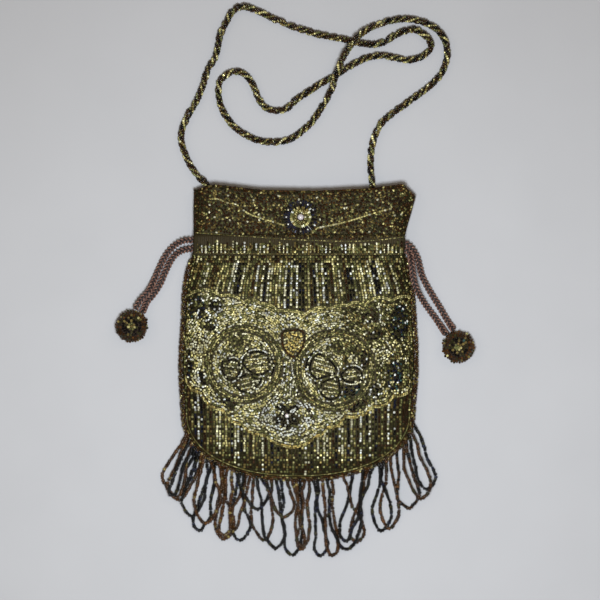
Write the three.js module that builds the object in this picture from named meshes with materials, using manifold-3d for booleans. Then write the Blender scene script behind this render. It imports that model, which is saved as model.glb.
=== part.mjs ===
// A beaded drawstring evening bag lying on its back, with its strap, drawstrings and fringe laid out flat.
// Millimetres. +Z is up and +Y runs from the fringe to the mouth. The origin is on the surface that the
// bag lies on, under the middle of its back.
import * as THREE from "three";
import { mergeVertices } from "three/addons/utils/BufferGeometryUtils.js";
import Module from "manifold-3d";

const wasm = await Module();
wasm.setup();

// Cloth and clearances
const WALL = 1.8;
const CLEARANCE = 0.3;

// Pouch outline: straight sides down to BEND_Y, then a superellipse round the bottom
const BEND_Y = -45;
const BOTTOM_DEPTH = 43.6;
const BOTTOM_POWER = 2.2;
const CASING_LOW = 60;
const CASING_HIGH = 73.5;
const CASING_THICK = 1.2;
const BACK_ROLL = 0.6;
const SLOPE_STEP = 0.5;

// One row for each height up the bag: the panels' left and right edges, the height of the side seam,
// half the gap between the walls there, the top of the front wall and the underside of the back wall at
// the middle, and how far in from the edge the walls roll down to the seam.
const SECTIONS = [
  { y: -90, left: -76.4, right: 75.1, seam: 4.6, slit: 0.15, crest: 12.4, lift: 0, roll: 24 },
  { y: -45, left: -76.4, right: 75.1, seam: 4.6, slit: 0.15, crest: 13.6, lift: 0, roll: 24 },
  { y: -13, left: -77.8, right: 77.2, seam: 4.6, slit: 0.15, crest: 14.6, lift: 0, roll: 26 },
  { y: 17, left: -76.2, right: 75.8, seam: 4.6, slit: 0.15, crest: 14.2, lift: 0, roll: 26 },
  { y: 39, left: -75.0, right: 74.2, seam: 4.6, slit: 0.15, crest: 12.8, lift: 0, roll: 22 },
  { y: 54, left: -71.8, right: 71.4, seam: 4.8, slit: 0.15, crest: 11.8, lift: 0, roll: 16 },
  { y: 60, left: -70.8, right: 70.4, seam: 5.85, slit: 2.5, crest: 11.4, lift: 1.6, roll: 12 },
  { y: 73.5, left: -70.6, right: 71.0, seam: 5.85, slit: 2.5, crest: 11.4, lift: 1.6, roll: 12 },
  { y: 78, left: -70.6, right: 72.2, seam: 4.8, slit: 0.15, crest: 12.0, lift: 0, roll: 14 },
  { y: 89, left: -70.7, right: 75.4, seam: 4.8, slit: 0.15, crest: 12.2, lift: 0, roll: 14 },
  { y: 99, left: -70.4, right: 78.1, seam: 4.8, slit: 0.15, crest: 12.4, lift: 0, roll: 14 },
  { y: 109, left: -70.0, right: 78.1, seam: 4.8, slit: 0.15, crest: 12.4, lift: 0, roll: 14 },
];

// The mouth's rim, by the share of the width from the left side
const RIM = [
  { share: 0, y: 103.8 },
  { share: 0.09, y: 107.5 },
  { share: 0.3, y: 103.9 },
  { share: 0.55, y: 103.2 },
  { share: 0.8, y: 105.0 },
  { share: 0.94, y: 107.8 },
  { share: 1, y: 99.4 },
];

// Gathers that the drawn neck presses into the front, fading down the belly
const GATHER_PITCH = 19.6;
const GATHER_DEPTH = 0.9;
const GATHER_CASING = 0.45;
const GATHER_FADE_Y = 18;
const GATHER_SHIFT = 1.2;

// Edging and fringe
const EDGING_RADIUS = 1.5;
const EDGING_TOP = 54;
const EDGING_JOINT_GAP = 0.75;
const EDGING_SIDES = 6;
const SIDE_EDGING_STEPS = 12;
const BOTTOM_EDGING_STEPS = 36;
const BOTTOM_POINTS = 24;
const FRINGE_RADIUS = 1.1;
const FRINGE_LOW_Z = 1.5;
const FRINGE_LAYER = 2.2;
const FRINGE_LAYERS = 3;
const FRINGE_STEPS = 10;
const FRINGE_SIDES = 4;

// A loop's round end starts at its shoulders, this many bulb widths above the tip, and its strands turn
// down to their layer this share of the way from the edging
const SHOULDER_RISE = 0.75;
const LAYER_SHARE = 0.45;

// The fringe's strands leave the edging at stitches numbered from the left. Each row is a stitch and its share
// of the way along the bottom edging, and the stitches between two rows are evenly spaced.
const STITCH_PLACES = [
  [0, 0.075], [8, 0.159], [13, 0.214], [18.5, 0.298], [25, 0.373], [31, 0.48], [36.5, 0.558], [40, 0.614],
  [43, 0.722], [46.5, 0.788], [49, 0.824], [51, 0.879], [55, 0.965],
];

// Fringe loops from left to right: the stitches where each one starts and stops, its lowest point and the
// width of its round end. The two strands of a loop cross where start lies right of stop.
const LOOPS = [
  { start: 0, stop: 8, tipX: -81, tipY: -105, bulb: 21 },
  { start: 1, stop: 3, tipX: -82.5, tipY: -103, bulb: 10 },
  { start: 2, stop: 4, tipX: -84, tipY: -101.5, bulb: 6 },
  { start: 5, stop: 6, tipX: -73, tipY: -92.5, bulb: 6 },
  { start: 7, stop: 10, tipX: -71.5, tipY: -115.5, bulb: 15 },
  { start: 9, stop: 11, tipX: -62, tipY: -119.5, bulb: 18 },
  { start: 12, stop: 13, tipX: -66, tipY: -126, bulb: 10 },
  { start: 15, stop: 14, tipX: -50.5, tipY: -132.5, bulb: 11.5 },
  { start: 16, stop: 17, tipX: -50, tipY: -129, bulb: 6 },
  { start: 19, stop: 18, tipX: -40, tipY: -132, bulb: 13.5 },
  { start: 21, stop: 22, tipX: -44, tipY: -126.5, bulb: 6 },
  { start: 20, stop: 25, tipX: -28, tipY: -111, bulb: 17.5 },
  { start: 23, stop: 27, tipX: -24, tipY: -132, bulb: 12.5 },
  { start: 24, stop: 28, tipX: -16, tipY: -138, bulb: 12.5 },
  { start: 26, stop: 30, tipX: -10, tipY: -118, bulb: 13 },
  { start: 29, stop: 33, tipX: -4, tipY: -142.5, bulb: 10.5 },
  { start: 32, stop: 31, tipX: 1.5, tipY: -139.5, bulb: 6.5 },
  { start: 34, stop: 35, tipX: 3, tipY: -137, bulb: 5.5 },
  { start: 37, stop: 36, tipX: 14.5, tipY: -142.5, bulb: 8.5 },
  { start: 38, stop: 40, tipX: 22, tipY: -142, bulb: 6.5 },
  { start: 39, stop: 43, tipX: 31.5, tipY: -136.5, bulb: 17.5 },
  { start: 44, stop: 41, tipX: 39, tipY: -133, bulb: 9.5 },
  { start: 42, stop: 45, tipX: 31.5, tipY: -132, bulb: 7.5 },
  { start: 47, stop: 46, tipX: 55.5, tipY: -125.5, bulb: 12.5 },
  { start: 48, stop: 49, tipX: 61, tipY: -125, bulb: 12 },
  { start: 50, stop: 52, tipX: 73.5, tipY: -112, bulb: 12.5 },
  { start: 51, stop: 54, tipX: 81.5, tipY: -104.5, bulb: 11.5 },
  { start: 53, stop: 55, tipX: 85.5, tipY: -98, bulb: 12 },
];

// Strap: a rope that lies on the surface and passes over itself in one low hump
const STRAP_RADIUS = 2.5;
const STRAP_FLOOR = 2.6;
const STRAP_SEWN = 4.8;
const STRAP_OVER = 8.6;
const STRAP_STEPS = 34;
const ROPE_SIDES = 8;
const STRAP_LEFT_ROUTE = [
  [-57, 97, STRAP_SEWN], [-62, 107, STRAP_SEWN], [-70, 116, 3.2], [-76, 127], [-79, 141], [-74, 154.5],
  [-69, 163], [-64, 175], [-61, 185], [-56, 193], [-53, 207], [-48, 218], [-43, 225], [-37.5, 227],
  [-30.5, 225], [-12, 216.5], [10, 209], [32, 204.5], [42.5, 202], [50, 201.5], [57, 203], [64, 207.5],
  [71, 210.5], [79, 211], [86, 206], [88.5, 200], [83.5, 194], [73.5, 191], [56, 194], [47.5, 193],
  [39, 189.5], [24, 180.5], [15.5, 175.6], [7.2, 170.4],
];
const STRAP_RIGHT_ROUTE = [
  [6.6, 170], [-1.5, 164.6], [-9.5, 158], [-17, 157], [-24.5, 161], [-33, 178], [-39.5, 183], [-47, 182],
  [-53, 176.5], [-54, 168], [-51.5, 158], [-45.5, 148.5], [-37, 141.5], [-27, 137], [-17, 136],
  [-7, 137.5], [3, 144], [10.5, 152],
  [21.5, 170.5, 4.6], [24.5, 180, STRAP_OVER], [31, 195, STRAP_OVER], [36.5, 203, STRAP_OVER],
  [42.5, 209, 6], [51, 214, 3], [62, 217.5], [73.5, 218.5], [84, 216], [93, 211], [98, 203.5],
  [99.5, 195], [97, 185], [91, 176.5], [73.5, 163], [56, 149.5], [51, 140.5], [48.5, 131], [48, 121],
  [48.6, 112, 3.8], [49.2, 106, STRAP_SEWN], [49.6, 97, STRAP_SEWN],
];

// Drawstrings: plaited cords out of the slits at the neck's sides, each pair ending in a beaded ball
const CORD_RADIUS = 2.2;
const CORD_FLOOR = 2.3;
const CORD_SLIT = 5.87;
const CORD_STEPS = 10;
const CORDS = [
  {
    name: "drawstring_left_upper",
    route: [
      [-62, 70.1, CORD_SLIT], [-71, 70.1, CORD_SLIT], [-76.5, 70, 5.2], [-82, 67.6, 3.6], [-86.7, 63.4, 2.6],
      [-89.7, 59.3], [-92.1, 54.9], [-94.7, 49.1], [-97.1, 43.4, 3], [-100.9, 35.7, 5.4], [-105, 31.2, 5.6],
      [-107.9, 27.3, 5.6], [-109.6, 24, 5.4],
    ],
  },
  {
    name: "drawstring_left_lower",
    route: [
      [-62, 64.3, CORD_SLIT], [-71.5, 64.3, CORD_SLIT], [-77.8, 63.3, 4.8], [-82.8, 60.3, 3], [-85.8, 56.5],
      [-87.9, 52.6], [-90.5, 46.8], [-92.9, 41.2], [-97.7, 33.7], [-101.7, 29.1], [-103.7, 24.8, 3.2],
      [-104.8, 21.7, 5],
    ],
  },
  {
    name: "drawstring_right_upper",
    route: [
      [62, 68.6, CORD_SLIT], [70.5, 68.2, CORD_SLIT], [75.2, 65, 5.2], [78.1, 61, 3.6], [79.7, 57.5, 2.8],
      [80.9, 52.5, 2.4], [82.4, 46.5], [86.2, 38.8], [90.8, 31], [94.9, 24.4], [98.6, 17.9],
      [101.4, 13.4, 2.9], [103.6, 10.2, 5],
    ],
  },
  {
    name: "drawstring_right_lower",
    route: [
      [62, 63.4, CORD_SLIT], [72.3, 63.2, CORD_SLIT], [74.5, 60.6, 6.7], [75, 56.6, 8.8], [75.9, 50, 9.9],
      [76.9, 43, 9.6], [79.4, 35.7, 7.6], [83.4, 28.9, 4.4], [87.2, 23.6, 2.6], [91.2, 18.3], [95, 12.6, 2.9],
      [98.4, 7.2, 5],
    ],
  },
];
const BALL_RADIUS = 11.2;
const BALL_HALF_HEIGHT = 5.6;
const BALL_RINGS = 8;
const ROUND_SIDES = 16;
const BALLS = [
  { name: "ball_left", x: -112.1, y: 12.5 },
  { name: "ball_right", x: 106.5, y: -1.3 },
];

// Raised motifs on the front
const ROSETTE = { x: 1.1, y: 85.6, radius: 11.2, hole: 2.7, height: 1.7 };
const ROSETTE_PEARL_RADIUS = 2.2;
const FLOWER_PEARL = { x: -8, y: -47.2, radius: 1.6 };
const PEARL_SIDES = 10;
const PEARL_RINGS = 6;

// The rosette's dome from its rim to its hole, as shares of its radius and height
const ROSETTE_DOME = [
  { across: 1, up: 0 },
  { across: 1, up: 0.4 },
  { across: 0.7, up: 0.85 },
  { across: 0.4, up: 1 },
];
const ROSETTE_HOLE_RISE = 0.85;

// Materials
const BEADED_GOLD = new THREE.MeshStandardMaterial({ color: 0x6e6034, roughness: 0.45, metalness: 0.35 });
const BACK_SATIN = new THREE.MeshStandardMaterial({ color: 0x5c4d28, roughness: 0.55, metalness: 0.1 });
const RIBBED_OLIVE = new THREE.MeshStandardMaterial({ color: 0x5a5330, roughness: 0.5, metalness: 0.25 });
const COPPER_BEADS = new THREE.MeshStandardMaterial({ color: 0x5f371c, roughness: 0.4, metalness: 0.3 });
const BEAD_ROPE = new THREE.MeshStandardMaterial({ color: 0x5a4526, roughness: 0.4, metalness: 0.2 });
const PLAITED_CORD = new THREE.MeshStandardMaterial({ color: 0x6e463c, roughness: 0.8, metalness: 0 });
const BALL_BEADS = new THREE.MeshStandardMaterial({ color: 0x4a3220, roughness: 0.4, metalness: 0.25 });
const DARK_BUGLES = new THREE.MeshStandardMaterial({ color: 0x30313a, roughness: 0.25, metalness: 0.4 });
const PEARL = new THREE.MeshStandardMaterial({ color: 0xd8d4c4, roughness: 0.25, metalness: 0 });

const bag = new THREE.Group();

function addPiece(name, geometry, material) {
  const piece = new THREE.Mesh(geometry, material);
  piece.name = name;
  bag.add(piece);
  return piece;
}

// Straight-line reading of a table at one value of its key column
function readTable(rows, key, column, at) {
  const next = rows.findIndex((row) => row[key] >= at);
  if (next === 0) return rows[0][column];
  if (next < 0) return rows[rows.length - 1][column];
  const low = rows[next - 1];
  const high = rows[next];
  return THREE.MathUtils.mapLinear(at, low[key], high[key], low[column], high[column]);
}

function section(y) {
  const read = (column) => readTable(SECTIONS, "y", column, y);
  return {
    left: read("left"),
    right: read("right"),
    seam: read("seam"),
    slit: read("slit"),
    crest: read("crest"),
    lift: read("lift"),
    roll: read("roll"),
  };
}

const bend = section(BEND_Y);
const BOTTOM_MIDDLE = (bend.left + bend.right) / 2;
const BOTTOM_HALF_WIDTH = (bend.right - bend.left) / 2;

// Height of the bottom curve at a distance across, grown outwards by a margin
function bottomAt(x, margin) {
  const across = Math.min(Math.abs(x - BOTTOM_MIDDLE) / (BOTTOM_HALF_WIDTH + margin), 1);
  const down = Math.pow(1 - Math.pow(across, BOTTOM_POWER), 1 / BOTTOM_POWER);
  return BEND_Y - (BOTTOM_DEPTH + margin) * down;
}

function acrossAt(share, y) {
  const at = section(y);
  return THREE.MathUtils.lerp(at.left, at.right, share);
}

function bottomLevel(share) {
  return bottomAt(THREE.MathUtils.lerp(bend.left, bend.right, share), 0);
}

function rimLevel(share) {
  return readTable(RIM, "share", "y", share);
}

// Distance in from the nearest edge, rounded where the sides meet the bottom
function edgeDistance(share, y) {
  const at = section(y);
  const width = at.right - at.left;
  const side = width * Math.min(share, 1 - share);
  const x = acrossAt(share, y);
  const slope = (bottomAt(x + SLOPE_STEP, 0) - bottomAt(x - SLOPE_STEP, 0)) / (2 * SLOPE_STEP);
  const bottom = Math.max(y - bottomLevel(share), 0) / Math.hypot(1, slope);
  const near = Math.hypot(side, bottom);
  return near > 0 ? (side * bottom) / near : 0;
}

// How far a wall has rolled from its seam, 0, to its flat middle, 1
function rolled(share, y, reach) {
  const t = Math.min(edgeDistance(share, y) / reach, 1);
  return t * (2 - t);
}

function gather(x, y) {
  if (y > CASING_HIGH) return 0;
  const faded = Math.max((y - GATHER_FADE_Y) / (CASING_LOW - GATHER_FADE_Y), 0);
  const depth = y < CASING_LOW ? GATHER_DEPTH * faded : GATHER_CASING;
  return -depth * Math.cos((2 * Math.PI * (x + GATHER_SHIFT)) / GATHER_PITCH);
}

function frontOver(share, y) {
  const at = section(y);
  const seamTop = at.seam + at.slit + WALL;
  const middle = at.crest + gather(acrossAt(share, y), y);
  return THREE.MathUtils.lerp(seamTop, middle, rolled(share, y, at.roll));
}

function backUnder(share, y) {
  const at = section(y);
  const seamBottom = at.seam - at.slit - WALL;
  return THREE.MathUtils.lerp(seamBottom, at.lift, rolled(share, y, at.roll * BACK_ROLL));
}

// Shares of the width, closer together towards the two edges
function shares(count, crowding) {
  return Array.from({ length: count + 1 }, (_, i) => {
    const even = i / count;
    const crowded = 0.5 - 0.5 * Math.cos(Math.PI * even);
    return THREE.MathUtils.lerp(even, crowded, crowding);
  });
}

// Levels from a lower line to an upper line of the bag, at the given fractions of the way up
function levels(lower, upper, fractions) {
  return fractions.map((part) => (share) => THREE.MathUtils.lerp(lower(share), upper(share), part));
}

// A closed wall between two height functions over a grid of shares and levels
function wall(across, upwards, under, over) {
  const positions = [];
  for (const height of [under, over]) {
    for (const level of upwards) {
      for (const share of across) {
        const y = level(share);
        positions.push(acrossAt(share, y), y, height(share, y));
      }
    }
  }
  const columns = across.length;
  const rows = upwards.length;
  const layer = columns * rows;
  const index = [];
  const quad = (a, b, c, d) => index.push(a, b, c, a, c, d);
  for (let row = 0; row < rows - 1; row += 1) {
    for (let column = 0; column < columns - 1; column += 1) {
      const a = row * columns + column;
      const d = a + columns;
      quad(a, d, d + 1, a + 1);
      quad(layer + a, layer + a + 1, layer + d + 1, layer + d);
    }
  }
  const rim = [];
  for (let column = 0; column < columns - 1; column += 1) rim.push(column);
  for (let row = 0; row < rows - 1; row += 1) rim.push(row * columns + columns - 1);
  for (let column = columns - 1; column > 0; column -= 1) rim.push((rows - 1) * columns + column);
  for (let row = rows - 1; row > 0; row -= 1) rim.push(row * columns);
  rim.forEach((a, i) => {
    const b = rim[(i + 1) % rim.length];
    quad(a, b, layer + b, layer + a);
  });
  const geometry = new THREE.BufferGeometry();
  geometry.setAttribute("position", new THREE.Float32BufferAttribute(positions, 3));
  geometry.setIndex(index);
  geometry.computeVertexNormals();
  return geometry;
}

function smooth(points) {
  return new THREE.CatmullRomCurve3(points, false, "centripetal");
}

// A round tube with flat ends along a curve
function tube(extrudePath, radius, steps, sides) {
  const ring = Array.from({ length: sides }, (_, i) => {
    const turn = (2 * Math.PI * i) / sides;
    return new THREE.Vector2(radius * Math.cos(turn), radius * Math.sin(turn));
  });
  return new THREE.ExtrudeGeometry(new THREE.Shape(ring), { steps, extrudePath, bevelEnabled: false });
}

// A route's smooth curve, on the floor wherever the route gives no height
function laid(route, floor) {
  return smooth(route.map(([x, y, z = floor]) => new THREE.Vector3(x, y, z)));
}

function toSolid(geometry) {
  const bare = geometry.clone();
  bare.deleteAttribute("normal");
  bare.deleteAttribute("uv");
  const merged = mergeVertices(bare);
  const vertProperties = new Float32Array(merged.getAttribute("position").array);
  const triVerts = new Uint32Array(merged.index.array);
  return new wasm.Manifold(new wasm.Mesh({ numProp: 3, vertProperties, triVerts }));
}

function fused(geometries) {
  const mesh = geometries.map(toSolid).reduce((whole, part) => whole.add(part)).getMesh();
  const geometry = new THREE.BufferGeometry();
  geometry.setAttribute("position", new THREE.BufferAttribute(new Float32Array(mesh.vertProperties), 3));
  geometry.setIndex(new THREE.BufferAttribute(new Uint32Array(mesh.triVerts), 1));
  geometry.computeVertexNormals();
  return geometry;
}

// Panels and the casing strips over them, on shared grid lines at the neck
const FRONT_COLUMNS = 30;
const FRONT_CROWDING = 0.45;
const BACK_COLUMNS = 18;
const BACK_CROWDING = 0.6;
const frontShares = shares(FRONT_COLUMNS, FRONT_CROWDING);
const backShares = shares(BACK_COLUMNS, BACK_CROWDING);
const BELLY_FRACTIONS = [0, 0.05, 0.11, 0.19, 0.32, 0.47, 0.62, 0.76, 0.88, 0.95];
const BACK_BELLY_FRACTIONS = [0, 0.07, 0.16, 0.36, 0.6, 0.88, 0.95];
const FRILL_FRACTIONS = [0.15, 0.45, 0.75, 1];
const BACK_FRILL_FRACTIONS = [0.15, 0.55, 1];
const casingLow = () => CASING_LOW;
const casingHigh = () => CASING_HIGH;
const casingLevels = levels(casingLow, casingHigh, [0, 0.5, 1]);

function panelLevels(belly, frill) {
  return [
    ...levels(bottomLevel, casingLow, belly),
    ...casingLevels,
    ...levels(casingHigh, rimLevel, frill),
  ];
}

addPiece(
  "front_panel",
  wall(
    frontShares,
    panelLevels(BELLY_FRACTIONS, FRILL_FRACTIONS),
    (share, y) => frontOver(share, y) - WALL,
    frontOver,
  ),
  BEADED_GOLD,
);
addPiece(
  "back_panel",
  wall(
    backShares,
    panelLevels(BACK_BELLY_FRACTIONS, BACK_FRILL_FRACTIONS),
    backUnder,
    (share, y) => backUnder(share, y) + WALL,
  ),
  BACK_SATIN,
);
addPiece(
  "casing_front",
  wall(
    frontShares.slice(1, -1),
    casingLevels,
    (share, y) => frontOver(share, y) + CLEARANCE,
    (share, y) => frontOver(share, y) + CLEARANCE + CASING_THICK,
  ),
  RIBBED_OLIVE,
);
addPiece(
  "casing_back",
  wall(
    backShares.slice(2, -2),
    casingLevels,
    (share, y) => backUnder(share, y) - CLEARANCE - CASING_THICK,
    (share, y) => backUnder(share, y) - CLEARANCE,
  ),
  BACK_SATIN,
);

// Edging outside the seam, down both sides and round the bottom
const EDGING_OUT = CLEARANCE + EDGING_RADIUS;

function sideEdging(side, outwards) {
  const heights = SECTIONS.map((row) => row.y).filter((y) => y > BEND_Y && y < EDGING_TOP);
  const points = [BEND_Y + EDGING_JOINT_GAP, ...heights, EDGING_TOP].map((y) => {
    const at = section(y);
    return new THREE.Vector3(at[side] + outwards * EDGING_OUT, y, at.seam);
  });
  return tube(smooth(points), EDGING_RADIUS, SIDE_EDGING_STEPS, EDGING_SIDES);
}

addPiece("edging_left", sideEdging("left", -1), COPPER_BEADS);
addPiece("edging_right", sideEdging("right", 1), COPPER_BEADS);

// Fringe: loops of strung beads fused to the edging round the bottom
const bottomCurve = smooth(Array.from({ length: BOTTOM_POINTS + 1 }, (_, i) => {
  const cosine = Math.cos((Math.PI * i) / BOTTOM_POINTS);
  const across = Math.sign(cosine) * Math.pow(Math.abs(cosine), 2 / BOTTOM_POWER);
  const x = BOTTOM_MIDDLE - (BOTTOM_HALF_WIDTH + EDGING_OUT) * across;
  return new THREE.Vector3(x, bottomAt(x, EDGING_OUT), bend.seam);
}));

function stitch(number) {
  const next = Math.max(1, STITCH_PLACES.findIndex(([count]) => count >= number));
  const [before, from] = STITCH_PLACES[next - 1];
  const [after, to] = STITCH_PLACES[next];
  return bottomCurve.getPointAt(THREE.MathUtils.mapLinear(number, before, after, from, to));
}

function fringeLoop(loop, order) {
  const crossed = loop.start > loop.stop;
  const low = FRINGE_LOW_Z + (crossed ? 0 : FRINGE_LAYER * (order % FRINGE_LAYERS));
  const start = stitch(loop.start);
  const stop = stitch(loop.stop);
  const shoulder = loop.tipY + SHOULDER_RISE * loop.bulb;
  const left = new THREE.Vector3(loop.tipX - loop.bulb / 2, shoulder, low);
  const right = new THREE.Vector3(loop.tipX + loop.bulb / 2, shoulder, low);
  const tip = new THREE.Vector3(loop.tipX, loop.tipY + FRINGE_RADIUS, (FRINGE_LOW_Z + low) / 2);
  const down = start.clone().lerp(left, LAYER_SHARE).setZ(low);
  const up = stop.clone().lerp(right, LAYER_SHARE).setZ(crossed ? low + FRINGE_LAYER : low);
  const strand = smooth([start, down, left, tip, right, up, stop]);
  return tube(strand, FRINGE_RADIUS, FRINGE_STEPS, FRINGE_SIDES);
}

const bottomEdging = tube(bottomCurve, EDGING_RADIUS, BOTTOM_EDGING_STEPS, EDGING_SIDES);
addPiece("fringe", fused([bottomEdging, ...LOOPS.map(fringeLoop)]), COPPER_BEADS);

function strapHalf(route) {
  return tube(laid(route, STRAP_FLOOR), STRAP_RADIUS, STRAP_STEPS, ROPE_SIDES);
}

addPiece("strap_left", strapHalf(STRAP_LEFT_ROUTE), BEAD_ROPE);
addPiece("strap_right", strapHalf(STRAP_RIGHT_ROUTE), BEAD_ROPE);

for (const { name, route } of CORDS) {
  addPiece(name, tube(laid(route, CORD_FLOOR), CORD_RADIUS, CORD_STEPS, ROPE_SIDES), PLAITED_CORD);
}

// A flattened ball, turned about the upright axis
function flattenedBall() {
  const profile = Array.from({ length: BALL_RINGS + 1 }, (_, i) => {
    const turn = (Math.PI * i) / BALL_RINGS - Math.PI / 2;
    const across = i % BALL_RINGS === 0 ? 0 : BALL_RADIUS * Math.cos(turn);
    return new THREE.Vector2(across, BALL_HALF_HEIGHT * Math.sin(turn));
  });
  return new THREE.LatheGeometry(profile, ROUND_SIDES).rotateX(Math.PI / 2);
}

for (const ball of BALLS) {
  addPiece(ball.name, flattenedBall(), BALL_BEADS).position.set(ball.x, ball.y, BALL_HALF_HEIGHT);
}

// Top of the front wall at a place on it
function frontTopAt(x, y) {
  const at = section(y);
  return frontOver((x - at.left) / (at.right - at.left), y);
}

function rosetteRing() {
  const { radius, hole, height } = ROSETTE;
  const dome = ROSETTE_DOME.map(({ across, up }) => new THREE.Vector2(across * radius, up * height));
  const foot = new THREE.Vector2(hole, 0);
  const lip = new THREE.Vector2(hole, ROSETTE_HOLE_RISE * height);
  return new THREE.LatheGeometry([foot, ...dome, lip, foot], ROUND_SIDES).rotateX(Math.PI / 2);
}

const rosetteSeat = frontTopAt(ROSETTE.x, ROSETTE.y + ROSETTE.radius) + CLEARANCE;
addPiece("rosette", rosetteRing(), DARK_BUGLES).position.set(ROSETTE.x, ROSETTE.y, rosetteSeat);

function pearl(name, x, y, radius) {
  const ball = addPiece(name, new THREE.SphereGeometry(radius, PEARL_SIDES, PEARL_RINGS), PEARL);
  ball.position.set(x, y, frontTopAt(x, y) + CLEARANCE + radius);
}

pearl("rosette_pearl", ROSETTE.x, ROSETTE.y, ROSETTE_PEARL_RADIUS);
pearl("flower_pearl", FLOWER_PEARL.x, FLOWER_PEARL.y, FLOWER_PEARL.radius);

export default bag;
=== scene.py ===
"""A beaded evening bag dressed for its picture: cloth, sewn beads, bead ropes, cords and studio."""

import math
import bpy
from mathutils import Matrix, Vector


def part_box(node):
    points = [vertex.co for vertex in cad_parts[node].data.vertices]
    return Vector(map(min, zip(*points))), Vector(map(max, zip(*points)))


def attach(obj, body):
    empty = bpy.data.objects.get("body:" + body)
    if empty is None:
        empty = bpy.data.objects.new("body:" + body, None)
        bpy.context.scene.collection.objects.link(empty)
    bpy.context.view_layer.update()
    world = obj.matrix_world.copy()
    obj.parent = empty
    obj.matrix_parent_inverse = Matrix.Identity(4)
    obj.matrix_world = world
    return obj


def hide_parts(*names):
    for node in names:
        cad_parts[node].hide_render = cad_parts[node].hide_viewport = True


bl_info = {
    "name": "Beaded evening bag",
    "version": (1, 0, 0),
    "blender": (4, 5, 0),
    "location": "View3D > Sidebar > Bag",
    "description": "Dresses the packed evening bag with its cloth, beads, cords and a plain studio",
    "category": "Object",
}

from collections import namedtuple

import bpy
import numpy as np
from bpy.props import FloatProperty, FloatVectorProperty, PointerProperty
from mathutils import Vector

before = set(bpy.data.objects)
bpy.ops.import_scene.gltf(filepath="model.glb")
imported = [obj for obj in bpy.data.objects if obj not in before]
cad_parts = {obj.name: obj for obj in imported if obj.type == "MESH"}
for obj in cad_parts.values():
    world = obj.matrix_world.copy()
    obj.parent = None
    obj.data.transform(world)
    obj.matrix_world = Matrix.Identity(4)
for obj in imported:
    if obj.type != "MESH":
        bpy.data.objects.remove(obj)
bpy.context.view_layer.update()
MM = 0.001


def mm(values):
    """Millimetres as an array in metres."""
    return np.asarray(values, float) * MM


def linear(code):
    """An sRGB hex colour as linear red, green and blue."""
    shares = [int(code[i:i + 2], 16) / 255 for i in (0, 2, 4)]
    return tuple(c / 12.92 if c <= 0.04045 else ((c + 0.055) / 1.055) ** 2.4 for c in shares)


# The pouch's walls, as the solids have them: each row is a height up the bag, the panels' edges, the
# side seam's height, half the gap between the walls there, the front's top, the back's underside and
# the reach of the edge's roll
SECTION_COLUMNS = ("y", "left", "right", "seam", "slit", "crest", "lift", "roll")
SECTIONS = mm([
    (-90, -76.4, 75.1, 4.6, 0.15, 12.4, 0, 24),
    (-45, -76.4, 75.1, 4.6, 0.15, 13.6, 0, 24),
    (-13, -77.8, 77.2, 4.6, 0.15, 14.6, 0, 26),
    (17, -76.2, 75.8, 4.6, 0.15, 14.2, 0, 26),
    (39, -75.0, 74.2, 4.6, 0.15, 12.8, 0, 22),
    (54, -71.8, 71.4, 4.8, 0.15, 11.8, 0, 16),
    (60, -70.8, 70.4, 5.85, 2.5, 11.4, 1.6, 12),
    (73.5, -70.6, 71.0, 5.85, 2.5, 11.4, 1.6, 12),
    (78, -70.6, 72.2, 4.8, 0.15, 12.0, 0, 14),
    (89, -70.7, 75.4, 4.8, 0.15, 12.2, 0, 14),
    (99, -70.4, 78.1, 4.8, 0.15, 12.4, 0, 14),
    (109, -70.0, 78.1, 4.8, 0.15, 12.4, 0, 14),
])
RIM_SHARES = (0, 0.09, 0.3, 0.55, 0.8, 0.94, 1)
RIM_HEIGHTS = mm((103.8, 107.5, 103.9, 103.2, 105.0, 107.8, 99.4))
WALL, CLEARANCE = mm((1.8, 0.3))
BEND_Y, BOTTOM_DEPTH, CASING_LOW, CASING_HIGH, CASING_THICK = mm((-45, 43.6, 60, 73.5, 1.2))
BOTTOM_POWER = 2.2
BACK_ROLL = 0.6
SLOPE_STEP = 0.5 * MM
GATHER_PITCH, GATHER_DEPTH, GATHER_CASING, GATHER_FADE_Y, GATHER_SHIFT = mm((19.6, 0.9, 0.45, 18, 1.2))


def section(column, y):
    return np.interp(y, SECTIONS[:, 0], SECTIONS[:, SECTION_COLUMNS.index(column)])


BOTTOM_MIDDLE = (section("left", BEND_Y) + section("right", BEND_Y)) / 2
BOTTOM_HALF_WIDTH = (section("right", BEND_Y) - section("left", BEND_Y)) / 2


def across_at(share, y):
    return section("left", y) + share * (section("right", y) - section("left", y))


def share_at(x, y):
    return (x - section("left", y)) / (section("right", y) - section("left", y))


def bottom_at(x, margin=0.0):
    """Height of the bottom curve at a distance across, grown outwards by a margin."""
    across = np.minimum(np.abs(x - BOTTOM_MIDDLE) / (BOTTOM_HALF_WIDTH + margin), 1)
    return BEND_Y - (BOTTOM_DEPTH + margin) * (1 - across ** BOTTOM_POWER) ** (1 / BOTTOM_POWER)


def bottom_level(share):
    return bottom_at(across_at(share, BEND_Y))


def rim_level(share):
    return np.interp(share, RIM_SHARES, RIM_HEIGHTS)


def edge_distance(share, y):
    """Distance in from the nearest edge, rounded where the sides meet the bottom."""
    side = (section("right", y) - section("left", y)) * np.clip(np.minimum(share, 1 - share), 0, None)
    x = across_at(share, y)
    slope = (bottom_at(x + SLOPE_STEP) - bottom_at(x - SLOPE_STEP)) / (2 * SLOPE_STEP)
    bottom = np.maximum(y - bottom_level(share), 0) / np.hypot(1, slope)
    return side * bottom / np.maximum(np.hypot(side, bottom), 1e-9)


def rolled(share, y, reach):
    t = np.minimum(edge_distance(share, y) / reach, 1)
    return t * (2 - t)


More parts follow.
